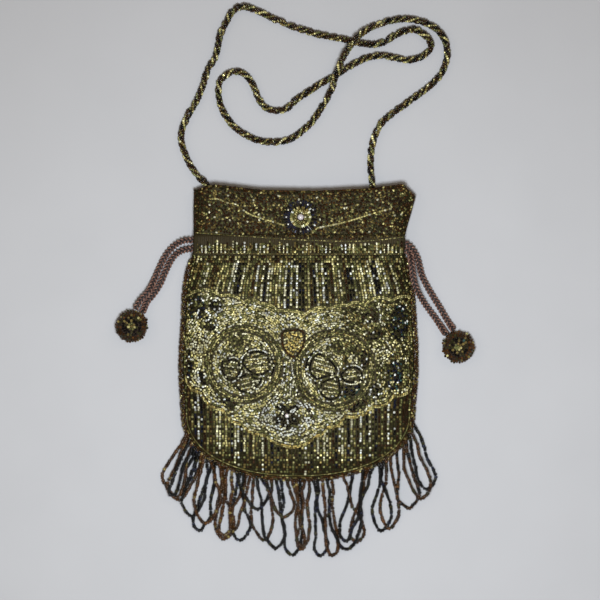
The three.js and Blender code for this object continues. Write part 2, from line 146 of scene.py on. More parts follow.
def gather(x, y):
    """The drawn neck's gathers, which fade down the belly and stop at the casing's top."""
    faded = np.clip((y - GATHER_FADE_Y) / (CASING_LOW - GATHER_FADE_Y), 0, 1)
    depth = np.where(y < CASING_LOW, GATHER_DEPTH * faded, GATHER_CASING) * (y <= CASING_HIGH)
    return -depth * np.cos(2 * np.pi * (x + GATHER_SHIFT) / GATHER_PITCH)


def front_over(share, y):
    seam_top = section("seam", y) + section("slit", y) + WALL
    middle = section("crest", y) + gather(across_at(share, y), y)
    return seam_top + (middle - seam_top) * rolled(share, y, section("roll", y))


def back_under(share, y):
    seam_bottom = section("seam", y) - section("slit", y) - WALL
    lift = section("lift", y)
    return seam_bottom + (lift - seam_bottom) * rolled(share, y, section("roll", y) * BACK_ROLL)


def front_top(x, y):
    return front_over(share_at(x, y), y)


def casing_top(x, y):
    return front_top(x, y) + CLEARANCE + CASING_THICK


# Lines and routes

def catmull_rom(points, per_span=24):
    """Close points on the centripetal curve through a few."""
    points = np.asarray(points, float)
    ends = np.vstack([2 * points[0] - points[1], points, 2 * points[-1] - points[-2]])
    t = np.linspace(0, 1, per_span, endpoint=False)[:, None]
    spans = []
    for p0, p1, p2, p3 in zip(ends, ends[1:], ends[2:], ends[3:]):
        d0, d1, d2 = (math.sqrt(np.linalg.norm(b - a)) for a, b in ((p0, p1), (p1, p2), (p2, p3)))
        leave = (p1 - p0) / d0 - (p2 - p0) / (d0 + d1) + (p2 - p1) / d1
        reach = (p2 - p1) / d1 - (p3 - p1) / (d1 + d2) + (p3 - p2) / d2
        ease = 3 * t**2 - 2 * t**3
        bow = (t**3 - 2 * t**2 + t) * leave * d1 + (t**3 - t**2) * reach * d1
        spans.append(p1 + (p2 - p1) * ease + bow)
    return np.vstack([*spans, points[-1:]])


def line_lengths(line):
    return np.concatenate([[0], np.cumsum(np.linalg.norm(np.diff(line, axis=0), axis=1))])


def points_at(line, at):
    lengths = line_lengths(line)
    return np.column_stack([np.interp(at, lengths, column) for column in line.T])


def spaced(line, step):
    """The line again, with points as near as fits to a step apart."""
    line = np.asarray(line, float)
    whole = line_lengths(line)[-1]
    return points_at(line, np.linspace(0, whole, max(2, round(whole / step) + 1)))


def directions(line):
    ahead = np.gradient(line, axis=0)
    return ahead / np.linalg.norm(ahead, axis=1, keepdims=True)


def side_and_up(line):
    """For each point of a lying line, the level direction to its side and the one above it."""
    ahead = directions(line)
    side = np.cross(ahead, (0, 0, 1))
    side /= np.linalg.norm(side, axis=1, keepdims=True)
    return side, np.cross(side, ahead)


def circle(centre, radius, points=96):
    turn = np.linspace(0, 2 * np.pi, points)
    return np.column_stack([centre[0] + radius * np.cos(turn), centre[1] + radius * np.sin(turn)])


def scallops(cusps, bulges, points=12):
    """A line of shallow arcs from cusp to cusp, each bowed sideways by its bulge."""
    t = np.linspace(0, 1, points)[:, None]
    arcs = []
    for a, b, bulge in zip(cusps, cusps[1:], bulges):
        along = (b - a) / np.linalg.norm(b - a)
        arcs.append(a + (b - a) * t + 4 * t * (1 - t) * bulge * np.array((-along[1], along[0])))
    return np.vstack(arcs)


# Strap: one rope in two halves, on the surface wherever a point gives no other height; millimetres
STRAP_FLOOR = 2.6
STRAP_SEWN = 4.8
STRAP_OVER = 8.6


def laid(points, floor):
    """A route in metres, with its points on the surface where they give no height."""
    return mm([(*point, floor)[:3] for point in points])


STRAP_ROUTES = {
    "left": laid((
        (-57, 97, STRAP_SEWN), (-62, 107, STRAP_SEWN), (-70, 116, 3.2), (-76, 127), (-79, 141),
        (-74, 154.5), (-69, 163), (-64, 175), (-61, 185), (-56, 193), (-53, 207), (-48, 218),
        (-43, 225), (-37.5, 227), (-30.5, 225), (-12, 216.5), (10, 209), (32, 204.5), (42.5, 202),
        (50, 201.5), (57, 203), (64, 207.5), (71, 210.5), (79, 211), (86, 206), (88.5, 200),
        (83.5, 194), (73.5, 191), (56, 194), (47.5, 193), (39, 189.5), (24, 180.5), (15.5, 175.6),
        (7.2, 170.4),
    ), STRAP_FLOOR),
    "right": laid((
        (6.6, 170), (-1.5, 164.6), (-9.5, 158), (-17, 157), (-24.5, 161), (-33, 178), (-39.5, 183),
        (-47, 182), (-53, 176.5), (-54, 168), (-51.5, 158), (-45.5, 148.5), (-37, 141.5),
        (-27, 137), (-17, 136), (-7, 137.5), (3, 144), (10.5, 152), (21.5, 170.5, 4.6),
        (24.5, 180, STRAP_OVER), (31, 195, STRAP_OVER), (36.5, 203, STRAP_OVER), (42.5, 209, 6),
        (51, 214, 3), (62, 217.5), (73.5, 218.5), (84, 216), (93, 211), (98, 203.5), (99.5, 195),
        (97, 185), (91, 176.5), (73.5, 163), (56, 149.5), (51, 140.5), (48.5, 131), (48, 121),
        (48.6, 112, 3.8), (49.2, 106, STRAP_SEWN), (49.6, 97, STRAP_SEWN),
    ), STRAP_FLOOR),
}

# Drawstrings: out of the neck's slits and down to their ball; millimetres
CORD_FLOOR = 2.3
CORD_SLIT = 5.87
CORD_ROUTES = {
    "left_upper": laid((
        (-62, 70.1, CORD_SLIT), (-71, 70.1, CORD_SLIT), (-76.5, 70, 5.2), (-82, 67.6, 3.6),
        (-86.7, 63.4, 2.6), (-89.7, 59.3), (-92.1, 54.9), (-94.7, 49.1), (-97.1, 43.4, 3),
        (-100.9, 35.7, 5.4), (-105, 31.2, 5.6), (-107.9, 27.3, 5.6), (-109.6, 24, 5.4),
    ), CORD_FLOOR),
    "left_lower": laid((
        (-62, 64.3, CORD_SLIT), (-71.5, 64.3, CORD_SLIT), (-77.8, 63.3, 4.8), (-82.8, 60.3, 3),
        (-85.8, 56.5), (-87.9, 52.6), (-90.5, 46.8), (-92.9, 41.2), (-97.7, 33.7), (-101.7, 29.1),
        (-103.7, 24.8, 3.2), (-104.8, 21.7, 5),
    ), CORD_FLOOR),
    "right_upper": laid((
        (62, 68.6, CORD_SLIT), (70.5, 68.2, CORD_SLIT), (75.2, 65, 5.2), (78.1, 61, 3.6),
        (79.7, 57.5, 2.8), (80.9, 52.5, 2.4), (82.4, 46.5), (86.2, 38.8), (90.8, 31), (94.9, 24.4),
        (98.6, 17.9), (101.4, 13.4, 2.9), (103.6, 10.2, 5),
    ), CORD_FLOOR),
    "right_lower": laid((
        (62, 63.4, CORD_SLIT), (72.3, 63.2, CORD_SLIT), (74.5, 60.6, 6.7), (75, 56.6, 8.8),
        (75.9, 50, 9.9), (76.9, 43, 9.6), (79.4, 35.7, 7.6), (83.4, 28.9, 4.4), (87.2, 23.6, 2.6),
        (91.2, 18.3), (95, 12.6, 2.9), (98.4, 7.2, 5),
    ), CORD_FLOOR),
}
BALL_RADIUS, BALL_HALF_HEIGHT = mm((11.2, 5.6))
BALL_PLACES = {"left": mm((-112.1, 12.5)), "right": mm((106.5, -1.3))}

# Fringe: stitches, numbered from the left, with their shares of the way along the bottom edging; then
# loops, with the stitches where each starts and stops, its lowest point, the width of its round end
# and its beads
EDGING_RADIUS, EDGING_TOP, EDGING_JOINT_GAP, FRINGE_RADIUS, FRINGE_LOW_Z, FRINGE_LAYER = mm(
    (1.5, 54, 0.75, 1.1, 1.5, 2.2))
EDGING_OUT = CLEARANCE + EDGING_RADIUS
FRINGE_LAYERS = 3
BOTTOM_POINTS = 24
STITCH_PLACES = np.array([
    (0, 0.075), (8, 0.159), (13, 0.214), (18.5, 0.298), (25, 0.373), (31, 0.48), (36.5, 0.558),
    (40, 0.614), (43, 0.722), (46.5, 0.788), (49, 0.824), (51, 0.879), (55, 0.965),
])
SHOULDER_RISE = 0.75
LAYER_SHARE = 0.45
Loop = namedtuple("Loop", "start stop tip_x tip_y bulb beads")
LOOPS = [Loop(*row) for row in (
    (0, 8, -81, -105, 21, "copper_strand"), (1, 3, -82.5, -103, 10, "copper_strand"),
    (2, 4, -84, -101.5, 6, "black_strand"), (5, 6, -73, -92.5, 6, "black_strand"),
    (7, 10, -71.5, -115.5, 15, "black_strand"), (9, 11, -62, -119.5, 18, "copper_strand"),
    (12, 13, -66, -126, 10, "black_strand"), (15, 14, -50.5, -132.5, 11.5, "copper_strand"),
    (16, 17, -50, -129, 6, "copper_strand"), (19, 18, -40, -132, 13.5, "black_strand"),
    (21, 22, -44, -126.5, 6, "copper_strand"), (20, 25, -28, -111, 17.5, "black_strand"),
    (23, 27, -24, -132, 12.5, "brown_strand"), (24, 28, -16, -138, 12.5, "black_strand"),
    (26, 30, -10, -118, 13, "brown_strand"), (29, 33, -4, -142.5, 10.5, "black_strand"),
    (32, 31, 1.5, -139.5, 6.5, "copper_strand"), (34, 35, 3, -137, 5.5, "brown_strand"),
    (37, 36, 14.5, -142.5, 8.5, "black_strand"), (38, 40, 22, -142, 6.5, "copper_strand"),
    (39, 43, 31.5, -136.5, 17.5, "black_strand"), (44, 41, 39, -133, 9.5, "brown_strand"),
    (42, 45, 31.5, -132, 7.5, "black_strand"), (47, 46, 55.5, -125.5, 12.5, "black_strand"),
    (48, 49, 61, -125, 12, "brown_strand"), (50, 52, 73.5, -112, 12.5, "mixed_strand"),
    (51, 54, 81.5, -104.5, 11.5, "brown_strand"), (53, 55, 85.5, -98, 12, "black_strand"),
)]

# Ornament on the front
UPPER_CUSPS = mm([
    (-75.7, 32.8), (-52.3, 33.6), (-37.2, 29.1), (-25.8, 28.1), (-14.1, 23.5), (4.4, 21.0),
    (20.4, 24.8), (32.2, 27.1), (43.9, 27.0), (62.0, 30.0), (74.2, 32.6),
])
UPPER_BULGES = mm((4.4, 2.2, 2.3, 1.6, 1.2, 2.5, 1.0, 2.1, 3.9, 1.6))
LOWER_CUSPS = mm([
    (-76.0, -20.8), (-65.7, -31.5), (-50.2, -42.9), (-38.2, -52.3), (-23.8, -59.6), (-4.7, -67.7),
    (11.4, -60.3), (19.4, -54.3), (30.8, -47.2), (49.4, -40.2), (63.0, -33.5), (73.6, -30.8),
])
LOWER_BULGES = mm((-2.6, -3.1, -2.7, -2.3, -1.6, -1.9, -1.3, -2.4, -3.2, -2.9, -1.1))
RING_CENTRES = mm([(-37.0, -12.8), (23.8, -16.8)])
RING_RADII = mm((22.4, 23.6))
# A petal's middle and its half sizes are in millimetres, its turn in degrees
Petal = namedtuple("Petal", "x y across up turn dressing")
PETALS = [Petal(*row) for row in (
    (-42.0, 0.7, 5.4, 7.8, -16, "leaf"), (34.9, -30.0, 6.4, 3.6, 32, "dark"),
    (25.4, -1.0, 4.6, 6.4, 24, "leaf"), (43.4, -9.0, 3.2, 7.4, -8, "shade"),
    (36.0, -10.2, 2.8, 3.2, 0, "cream"), (-69.4, 26.0, 5.8, 8.0, 6, "dark"),
    (-74.4, -12.4, 2.4, 9.4, 0, "dark"), (67.2, 15.0, 5.4, 11.4, -4, "dark"),
    (64.4, -20.0, 4.8, 9.4, -8, "dark"), (-56.0, 27.0, 5.4, 4.6, -20, "bloom"),
    (-59.8, 13.6, 5.2, 4.8, 0, "bloom"), (47.6, 18.8, 4.6, 4.8, 0, "shade"),
    (51.0, 6.6, 4.8, 3.8, 30, "shade"), (51.2, -30.4, 4.8, 4.6, 14, "bloom"),
    (-67.0, -1.6, 5.4, 8.4, 0, "cream"), (-65.4, -22.0, 3.4, 6.4, 24, "bloom"),
    (55.8, -6.4, 4.6, 4.2, 0, "cream"), (-47.4, -38.6, 5.4, 2.8, -34, "shade"),
    (39.0, -41.0, 6.0, 2.4, 26, "shade"),
)]
WINGS = [mm(line) for line in (
    ((-37.4, -12.6), (-37.0, -9.6), (-34.8, -6.8), (-30.7, -4.7), (-25.6, -4.7), (-22.0, -6.8),
     (-20.0, -10.9), (-19.6, -15.0), (-22.6, -18.6), (-27.6, -19.8), (-31.0, -18.4),
     (-34.8, -15.6)),
    ((-51.2, -11.2), (-47.6, -10.6), (-43.5, -9.6), (-40.5, -11.9), (-39.6, -17.0), (-41.0, -20.3),
     (-43.5, -22.6), (-46.6, -23.2), (-49.7, -20.1), (-51.4, -16.0)),
    ((-42.4, -24.4), (-38.6, -21.4), (-34.2, -19.2), (-30.2, -22.0), (-25.6, -22.2), (-26.0, -24.8),
     (-28.7, -27.6), (-31.9, -30.0), (-35.4, -31.2), (-38.9, -30.4), (-41.3, -27.8)),
    ((11.8, -22.6), (8.2, -19.1), (7.4, -13.9), (9.5, -8.8), (13.4, -6.2), (17.0, -7.8),
     (20.5, -10.3), (23.6, -13.9), (25.0, -18.0), (19.0, -20.6)),
    ((28.2, -19.6), (33.0, -15.4), (38.5, -15.4), (41.6, -18.4), (41.6, -22.0), (38.6, -24.2),
     (33.9, -24.6), (29.6, -23.0)),
    ((15.2, -25.4), (20.0, -23.2), (25.6, -21.6), (27.0, -27.0), (27.4, -31.6), (25.2, -35.0),
     (20.5, -36.2), (16.4, -34.2), (14.6, -30.2)),
)]
BAR_LEANS = (7, -8, 14, -16, 9, -12)
OUTER_ARCS = [mm(line) for line in (
    ((-20.6, -5.6), (-18.0, -9.8), (-16.9, -15.0), (-18.2, -19.4), (-21.6, -22.2)),
    ((11.0, -25.4), (5.8, -20.0), (4.8, -13.6), (7.2, -7.2), (12.4, -3.4)),
)]
DROP_OUTLINE = mm([
    (-4.0, 9.9), (0.6, 9.8), (2.9, 8.2), (3.3, 3.4), (2.2, -2.0), (-0.8, -6.0), (-4.0, -7.9),
    (-7.2, -6.0), (-10.2, -2.0), (-11.3, 3.4), (-10.9, 8.2), (-8.6, 9.8),
])
FLOWER_CENTRE = mm((-8.0, -47.2))
FLOWER_REACH = 5.2 * MM
FLOWER_TURNS = (40, 128, 205, 268, 328)
FLOWER_GROUND = mm((19.0, 13.5))
SILVER_LINES = [mm(line) for line in (
    ((53.6, 28.0), (54.4, 18.0), (53.6, 8.7), (60.3, 0.0), (62.6, -6.0)),
    ((-9.5, -10.5), (-10.6, -22.0), (-15.0, -33.0), (-23.0, -42.0), (-26.0, -50.0)),
    ((-5.0, -10.5), (-3.2, -24.0), (0.5, -34.0), (6.5, -43.0), (9.5, -52.0)),
    ((-21.5, -45.0), (-25.6, -48.6), (-22.5, -53.0), (-18.0, -50.0), (-20.4, -46.4)),
    ((4.6, -44.0), (8.6, -47.6), (5.5, -52.0), (1.4, -49.0), (3.6, -45.4)),
    ((-18.0, -56.0), (-12.0, -58.8), (-7.0, -57.6), (-1.0, -59.4), (4.0, -56.0)),
)]
FRILL_LINES = [mm(line) for line in (
    ((-59.6, 97.8), (-53.6, 97.5), (-47.9, 95.1), (-42.2, 94.1), (-37.5, 90.5), (-33.5, 87.8),
     (-10.7, 80.4)),
    ((61.0, 91.1), (48.9, 87.8), (32.0, 82.6), (12.7, 78.4)),
)]
NECK_LINE = mm([
    (-69.0, 75.2), (-46.2, 73.4), (-29.5, 72.4), (-12.7, 71.0), (6.7, 70.1), (38.2, 69.4), (54.3, 70.4),
    (69.4, 72.2),
])
CASING_LINE = mm([(-68.6, 61.9), (-35.5, 61.2), (-12.7, 60.9), (27.5, 60.8), (68.6, 60.9)])
ROSETTE_CENTRE = mm((1.1, 85.6))
ROSETTE_RADIUS, ROSETTE_HEIGHT = mm((11.2, 1.7))

# Columns of the striped belly from left to right, one letter each; the spare ones at both ends come in
# only where the neck draws the columns together
SPARE_STRIPES = 3
DRAWN_IN = 0.07
STRIPED_LEAN = 0.16
UPPER_STRIPES = "BOBOBOSCOBBOGOGOCSKKCGOGBSOCKSCOGCOSKSKSKKOGBKCOSKOBCOCOBKKSOGCOSCKKSCSOBCOBOBOB"
LOWER_STRIPES = "BOBBBOKSKBOBOCCOGOKCSKCOBGOOSBOKOKOBGBOBKOSSKOCOCCOBKSCOKCOBSOKSOKBOBSOKBOBBBBOB"
STRIPE_BEADS = {
    "S": "silver_column", "K": "black_column", "G": "gold_column",
    "B": "brown_column", "C": "cream_column", "O": "olive_column",
}

# What is drawn from, and how often, where beads of several colours are sewn together
MIXES = {
    "silver_column": {"silver": 5, "cream": 6, "gold": 2, "olive": 3, "dark_olive": 2},
    "cream_column": {"cream": 6, "bright_gold": 3, "gold": 2, "olive": 3, "dark_olive": 1},
    "gold_column": {"gold": 6, "bright_gold": 2, "olive": 4, "bronze": 2},
    "olive_column": {"olive": 6, "dark_olive": 4, "bronze": 3, "gold": 2},
    "brown_column": {"brown": 6, "bronze": 2, "dark_olive": 3},
    "black_column": {"black": 6, "blue_black": 2, "silver": 1, "dark_olive": 5, "olive": 2},
    "stripe_foot": {"brown": 4, "dark_olive": 5, "olive": 3, "bronze": 3},
    "mottled": {"gold": 3, "bright_gold": 1, "olive": 5, "bronze": 6, "dark_olive": 6, "brown": 4},
    "frill": {
        "olive": 4, "bronze": 9, "gold": 1.6, "dark_olive": 8, "brown": 11, "copper": 5, "cream": 0.4,
    },
    "frill_cord": {"bright_gold": 1, "gold": 5, "bronze": 2, "cream": 1},
    "ground_left": {"silver": 2, "cream": 8, "bright_gold": 4, "gold": 9, "olive": 7, "dark_olive": 1},
    "ground_right": {"cream": 2, "bright_gold": 2, "gold": 4, "olive": 8, "bronze": 4, "dark_olive": 9},
    "ring_line": {"dark_olive": 4, "olive": 5, "gold": 2},
    "olive_band": {"olive": 5, "dark_olive": 7, "gold": 1},
    "gold_cord": {"gold": 6, "bright_gold": 1, "olive": 4},
    "ochre_cord": {"gold": 5, "amber": 3, "bronze": 4, "olive": 1},
    "dull_gold_cord": {"gold": 5, "bright_gold": 1, "olive": 4},
    "worn_cord": {"gold": 2, "olive": 4, "bronze": 4},
    "black_outline": {"black": 9, "dark_olive": 4, "cream": 1},
    "pale_outline": {"silver": 4, "cream": 5, "olive": 4, "black": 1},
    "checked_outline": {"silver": 4, "black": 4},
    "silver_ground": {"silver": 6, "cream": 5, "gold": 3, "olive": 3},
    "dark_fill": {"blue_black": 4, "black": 5, "teal": 2, "olive": 2, "silver": 1.4, "dark_olive": 3},
    "dark_flower": {"black": 6, "silver": 3, "dark_olive": 2},
    "brown_shade": {"brown": 3, "dark_olive": 7, "olive": 3},
    "cream_fill": {"cream": 5, "bright_gold": 4, "gold": 3},
    "amber_fill": {"amber": 9, "bronze": 2, "gold": 2, "bright_gold": 1},
    "drop_outline": {"brown": 5, "copper": 4, "dark_olive": 3},
    "copper_trim": {"copper": 4, "bronze": 4, "brown": 5, "dark_olive": 3, "gold": 0.7},
    "rosette_eye": {"gold": 4, "olive": 5, "bronze": 3, "cream": 0.6},
    "rosette_dark": {"blue_black": 4, "black": 7, "dark_olive": 2, "silver": 0.5},
    "copper_strand": {"copper": 7, "brown": 7, "bronze": 1.2},
    "brown_strand": {"brown": 8, "copper": 4, "dark_olive": 2},
    "black_strand": {"black": 12, "blue_black": 1, "dark_olive": 1},
    "mixed_strand": {"black": 4, "brown": 5, "copper": 1},
    "rope_dark": {"brown": 6, "black": 4},
    "rope_gold": {"gold": 5, "bright_gold": 0.6, "olive": 4, "bronze": 3},
    "rope_bronze": {"gold": 1, "olive": 4, "bronze": 4, "brown": 2},
    "ball_outer": {"copper": 4, "brown": 8, "bronze": 1.5, "dark_olive": 3, "gold": 0.3},
    "ball_ring": {"black": 7, "dark_olive": 5, "teal": 0.6, "bronze": 2},
    "ball_eye": {"gold": 2, "olive": 4, "bronze": 4},
}
BRIGHTNESS_SPREAD = 0.22


# Sizes and colours that can be changed in the sidebar

def size(name, description, metres):
    return FloatProperty(
        name=name, description=description, default=metres, min=0, precision=5, unit="LENGTH",
    )


def tint(name, code):
    return FloatVectorProperty(
        name=name, description=f"Colour of the {name.lower()} beads", default=linear(code),
        min=0, max=1, subtype="COLOR",
    )


class BagSizes(bpy.types.PropertyGroup):
    bead_width: size("Bead width", "Across a sewn bead", 1.45 * MM)
    bead_length: size("Bead length", "Along a sewn bead's thread", 1.9 * MM)
    bead_room: size("Bead room", "Least distance between the middles of freely sewn beads", 1.22 * MM)
    thread_pitch: size("Thread pitch", "Between the middles of beads on one thread", 1.6 * MM)
    row_pitch: size("Row pitch", "Between the rows of the ornamented panel", 1.4 * MM)
    sewn_depth: size("Sewn depth", "How far a bead's middle lies under the finished surface", 0.5 * MM)
    cloth_thickness: size("Cloth thickness", "Thickness of the cloth under the beads", 0.9 * MM)
    strand_bead_width: size("Strand bead width", "Across a bead of the fringe", 2.75 * MM)
    strand_bead_length: size("Strand bead length", "Along a bead of the fringe", 2 * MM)
    rope_lay: size("Rope lay", "Length of one turn of the strap's strands", 13 * MM)
    edging_lay: size("Edging lay", "Length of one turn of the edging's strands", 7.5 * MM)
    cord_width: size("Cord width", "Across a plaited drawstring", 4.4 * MM)
    plait_lay: size("Plait lay", "Length of one crossing cycle of the drawstrings' plait", 7.5 * MM)


class BagColours(bpy.types.PropertyGroup):
    bright_gold: tint("Bright gold", "c2bc90")
    gold: tint("Gold", "aaa26c")
    amber: tint("Amber", "b5a260")
    bronze: tint("Bronze", "685b33")
    olive: tint("Olive", "61613a")
    dark_olive: tint("Dark olive", "2b2915")
    cream: tint("Cream", "c4c2a6")
    silver: tint("Silver", "bfc2bc")
    black: tint("Black", "060606")
    blue_black: tint("Blue black", "171b2b")
    teal: tint("Teal", "2e4642")
    brown: tint("Brown", "2b1b0c")
    copper: tint("Copper", "402810")


# Nodes and materials

def add_node(tree, kind, inputs=None, **settings):
    """Adds a node with its settings, and sets or links its inputs by name or number."""
    node = tree.nodes.new(kind)
    for key, value in settings.items():
        setattr(node, key, value)
    for key, value in (inputs or {}).items():
        if isinstance(value, bpy.types.NodeSocket):
            tree.links.new(value, node.inputs[key])
        else:
            node.inputs[key].default_value = value
    return node


def new_material(name):
    material = bpy.data.materials.new(name)
    material.use_nodes = True
    material.node_tree.nodes.clear()
    return material, material.node_tree


def finish_material(tree, shader):
    add_node(tree, "ShaderNodeOutputMaterial", {"Surface": shader.outputs["BSDF"]})


def tarnished(tree, colour, patch, darkest):
    """The colour with soft darker patches of about the given size."""
    place = add_node(tree, "ShaderNodeTexCoord")
    noise = add_node(tree, "ShaderNodeTexNoise", {
        "Vector": place.outputs["Object"], "Scale": 1 / patch, "Detail": 3.0, "Roughness": 0.6,
    })
    shade = add_node(tree, "ShaderNodeMapRange", {
        "Value": noise.outputs["Fac"], "From Min": 0.35, "From Max": 0.62,
        "To Min": darkest, "To Max": 1.0,
    })
    return add_node(tree, "ShaderNodeVectorMath", {
        0: colour, "Scale": shade.outputs["Result"],
    }, operation="SCALE").outputs["Vector"]


def galvanised_beads():
    """Glass seed beads with a worn galvanised coat: each throws a soft glint out of a dull body."""
    material, tree = new_material("Galvanised glass seed beads")
    colour = add_node(tree, "ShaderNodeAttribute", attribute_name="colour")
    worn = tarnished(tree, colour.outputs["Color"], 14 * MM, 0.62)
    shader = add_node(tree, "ShaderNodeBsdfPrincipled", {
        "Base Color": worn, "Metallic": 0.7, "Roughness": 0.55, "Specular IOR Level": 0.2,
    })
    finish_material(tree, shader)
    return material


def lustred_glass():
    """Pressed glass seed beads with a lustre: dark and deep in body, with a hard wet highlight."""
    material, tree = new_material("Lustred glass seed beads")
    colour = add_node(tree, "ShaderNodeAttribute", attribute_name="colour")
    worn = tarnished(tree, colour.outputs["Color"], 9 * MM, 0.7)
    shader = add_node(tree, "ShaderNodeBsdfPrincipled", {
        "Base Color": worn, "Metallic": 0.15, "Roughness": 0.16, "Specular IOR Level": 0.25,
    })
    finish_material(tree, shader)
    return material


# How far a wave texture of scale 1 runs from band to band
WAVE_REPEAT = 0.314


def woven(name, code, hollow_shade_code, thread, metallic, roughness, sheen):
    """Cloth of crossing threads; those too fine for the picture are drawn coarse enough to show. The
    weave's hollows get painted shade.
    """
    material, tree = new_material(name)
    place = add_node(tree, "ShaderNodeTexCoord")
    heights = []
    for direction in ("X", "Y"):
        heights.append(add_node(tree, "ShaderNodeTexWave", {
            "Vector": place.outputs["Object"], "Scale": WAVE_REPEAT / thread,
            "Distortion": 0.6, "Detail": 1.0,
        }, bands_direction=direction))
    weave = add_node(tree, "ShaderNodeMath", {
        0: heights[0].outputs["Fac"], 1: heights[1].outputs["Fac"],
    }, operation="MULTIPLY")
    # Painted shade: the colour runs to the darker one where the weave is low, in the hollows between
    # threads
    mixed = add_node(tree, "ShaderNodeMix", {
        "Factor": weave.outputs["Value"], "A": (*linear(hollow_shade_code), 1), "B": (*linear(code), 1),
    }, data_type="RGBA")
    bump = add_node(tree, "ShaderNodeBump", {
        "Height": weave.outputs["Value"], "Strength": 0.5, "Distance": 0.15 * MM,
    })
    shader = add_node(tree, "ShaderNodeBsdfPrincipled", {
        "Base Color": tarnished(tree, mixed.outputs["Result"], 22 * MM, 0.72), "Metallic": metallic,
        "Roughness": roughness, "Specular IOR Level": 0.2, "Sheen Weight": sheen,
        "Normal": bump.outputs["Normal"],
    })
    finish_material(tree, shader)
    return material


def lame_cloth_dark_as_shade():
    """Gold lamé, woven from metal thread: a dull glow between the beads, its colour kept dark as painted
    shade in the gaps between them.
    """
    return woven("Gold lamé cloth", "42391c", "181408", 0.7 * MM, 0.6, 0.55, 0.0)


def satin_cloth():
    """Rayon satin: smooth and close, with a soft sheen along its folds."""
    return woven("Bronze rayon satin", "6a5528", "4c3c1c", 0.6 * MM, 0.15, 0.42, 0.25)


def ribbon_cloth():
    """Grosgrain ribbon: fine crosswise ribs of olive silk, duller than the beads on it."""
    return woven("Olive grosgrain ribbon", "4a4020", "150f05", 0.8 * MM, 0.1, 0.7, 0.0)


def viscose_plait():
    """Plaited viscose yarn: twisted fibres, silky along each strand, with painted shade down each yarn's
    sides and in its fibres' grooves, and painted light on its top and ridges.
    """
    material, tree = new_material("Plaited viscose cord")
    colour = add_node(tree, "ShaderNodeAttribute", attribute_name="colour")
    place = add_node(tree, "ShaderNodeUVMap")
    fibres = add_node(tree, "ShaderNodeTexWave", {
        "Vector": place.outputs["UV"], "Scale": 2.4, "Distortion": 1.2, "Detail": 2.0,
    }, bands_direction="DIAGONAL")
    # Painted shade and light along the twist: the fibres' grooves darker, their ridges lighter
    fibre_shade = add_node(tree, "ShaderNodeMapRange", {
        "Value": fibres.outputs["Fac"], "To Min": 0.6, "To Max": 1.2,
    })
    # Painted shade: each yarn is darkest at its sides and lightest along its top, as if lit from above
    around = add_node(tree, "ShaderNodeSeparateXYZ", {"Vector": place.outputs["UV"]})
    angle = add_node(tree, "ShaderNodeMath", {
        0: around.outputs["Y"], 1: 2 * math.pi,
    }, operation="MULTIPLY")
    upwards = add_node(tree, "ShaderNodeMath", {0: angle.outputs["Value"]}, operation="SINE")
    side_shade = add_node(tree, "ShaderNodeMapRange", {
        "Value": upwards.outputs["Value"], "From Min": 0.1, "From Max": 1.0,
        "To Min": 0.3, "To Max": 1.0,
    })
    shade = add_node(tree, "ShaderNodeMath", {
        0: fibre_shade.outputs["Result"], 1: side_shade.outputs["Result"],
    }, operation="MULTIPLY")
    yarn = add_node(tree, "ShaderNodeVectorMath", {
        0: colour.outputs["Color"], "Scale": shade.outputs["Value"],
    }, operation="SCALE")
    bump = add_node(tree, "ShaderNodeBump", {
        "Height": fibres.outputs["Fac"], "Strength": 0.6, "Distance": 0.2 * MM,
    })
    shader = add_node(tree, "ShaderNodeBsdfPrincipled", {
        "Base Color": yarn.outputs["Vector"], "Roughness": 0.6, "Specular IOR Level": 0.25,
        "Sheen Weight": 0.08, "Normal": bump.outputs["Normal"],
    })
    finish_material(tree, shader)
    return material


def pearl_lustre():
    """Imitation pearl: glass dipped in pearl essence, milky under a clear gloss."""
    material, tree = new_material("Imitation pearl")
    place = add_node(tree, "ShaderNodeTexCoord")
    cloud = add_node(tree, "ShaderNodeTexNoise", {
        "Vector": place.outputs["Object"], "Scale": 1 / (2 * MM),
    })
    milk = add_node(tree, "ShaderNodeMix", {
        "Factor": cloud.outputs["Fac"], "A": (*linear("8f898c"), 1), "B": (*linear("b9b3b2"), 1),
    }, data_type="RGBA")
    shader = add_node(tree, "ShaderNodeBsdfPrincipled", {
        "Base Color": milk.outputs["Result"], "Roughness": 0.22, "IOR": 1.5, "Coat Weight": 0.8,
        "Coat Roughness": 0.05, "Subsurface Weight": 0.1, "Subsurface Scale": 1 * MM,
    })
    finish_material(tree, shader)
    return material


def felt_core():
    """Dark felt that the ball's beads are sewn to."""
    return woven("Dark felt", "2c1c10", "1a1008", 0.9 * MM, 0.0, 0.9, 0.2)


def table_board():
    """Matt white laminate: pale, with a faint mottle and hardly any gloss."""
    material, tree = new_material("White laminate")
    place = add_node(tree, "ShaderNodeTexCoord")
    noise = add_node(tree, "ShaderNodeTexNoise", {
        "Vector": place.outputs["Object"], "Scale": 1 / (60 * MM),
    })
    mottle = add_node(tree, "ShaderNodeMix", {
        "Factor": noise.outputs["Fac"], "A": (*linear("959597"), 1), "B": (*linear("9a9a9c"), 1),
    }, data_type="RGBA")
    shader = add_node(tree, "ShaderNodeBsdfPrincipled", {
        "Base Color": mottle.outputs["Result"], "Roughness": 0.75, "Specular IOR Level": 0.2,
    })
    finish_material(tree, shader)
    return material


MADE = {}


def material_once(make):
    """The material of that maker, made the first time it is asked for."""
    if make.__name__ not in MADE:
        MADE[make.__name__] = make()
    return MADE[make.__name__]


# Meshes

def new_piece(name, mesh, material, replaces=()):
    """Links a finished mesh as a piece that rides on the bag."""
    piece = bpy.data.objects.new(name, mesh)
    bpy.context.scene.collection.objects.link(piece)
    mesh.materials.clear()
    mesh.materials.append(material)
    return declare(piece, replaces)


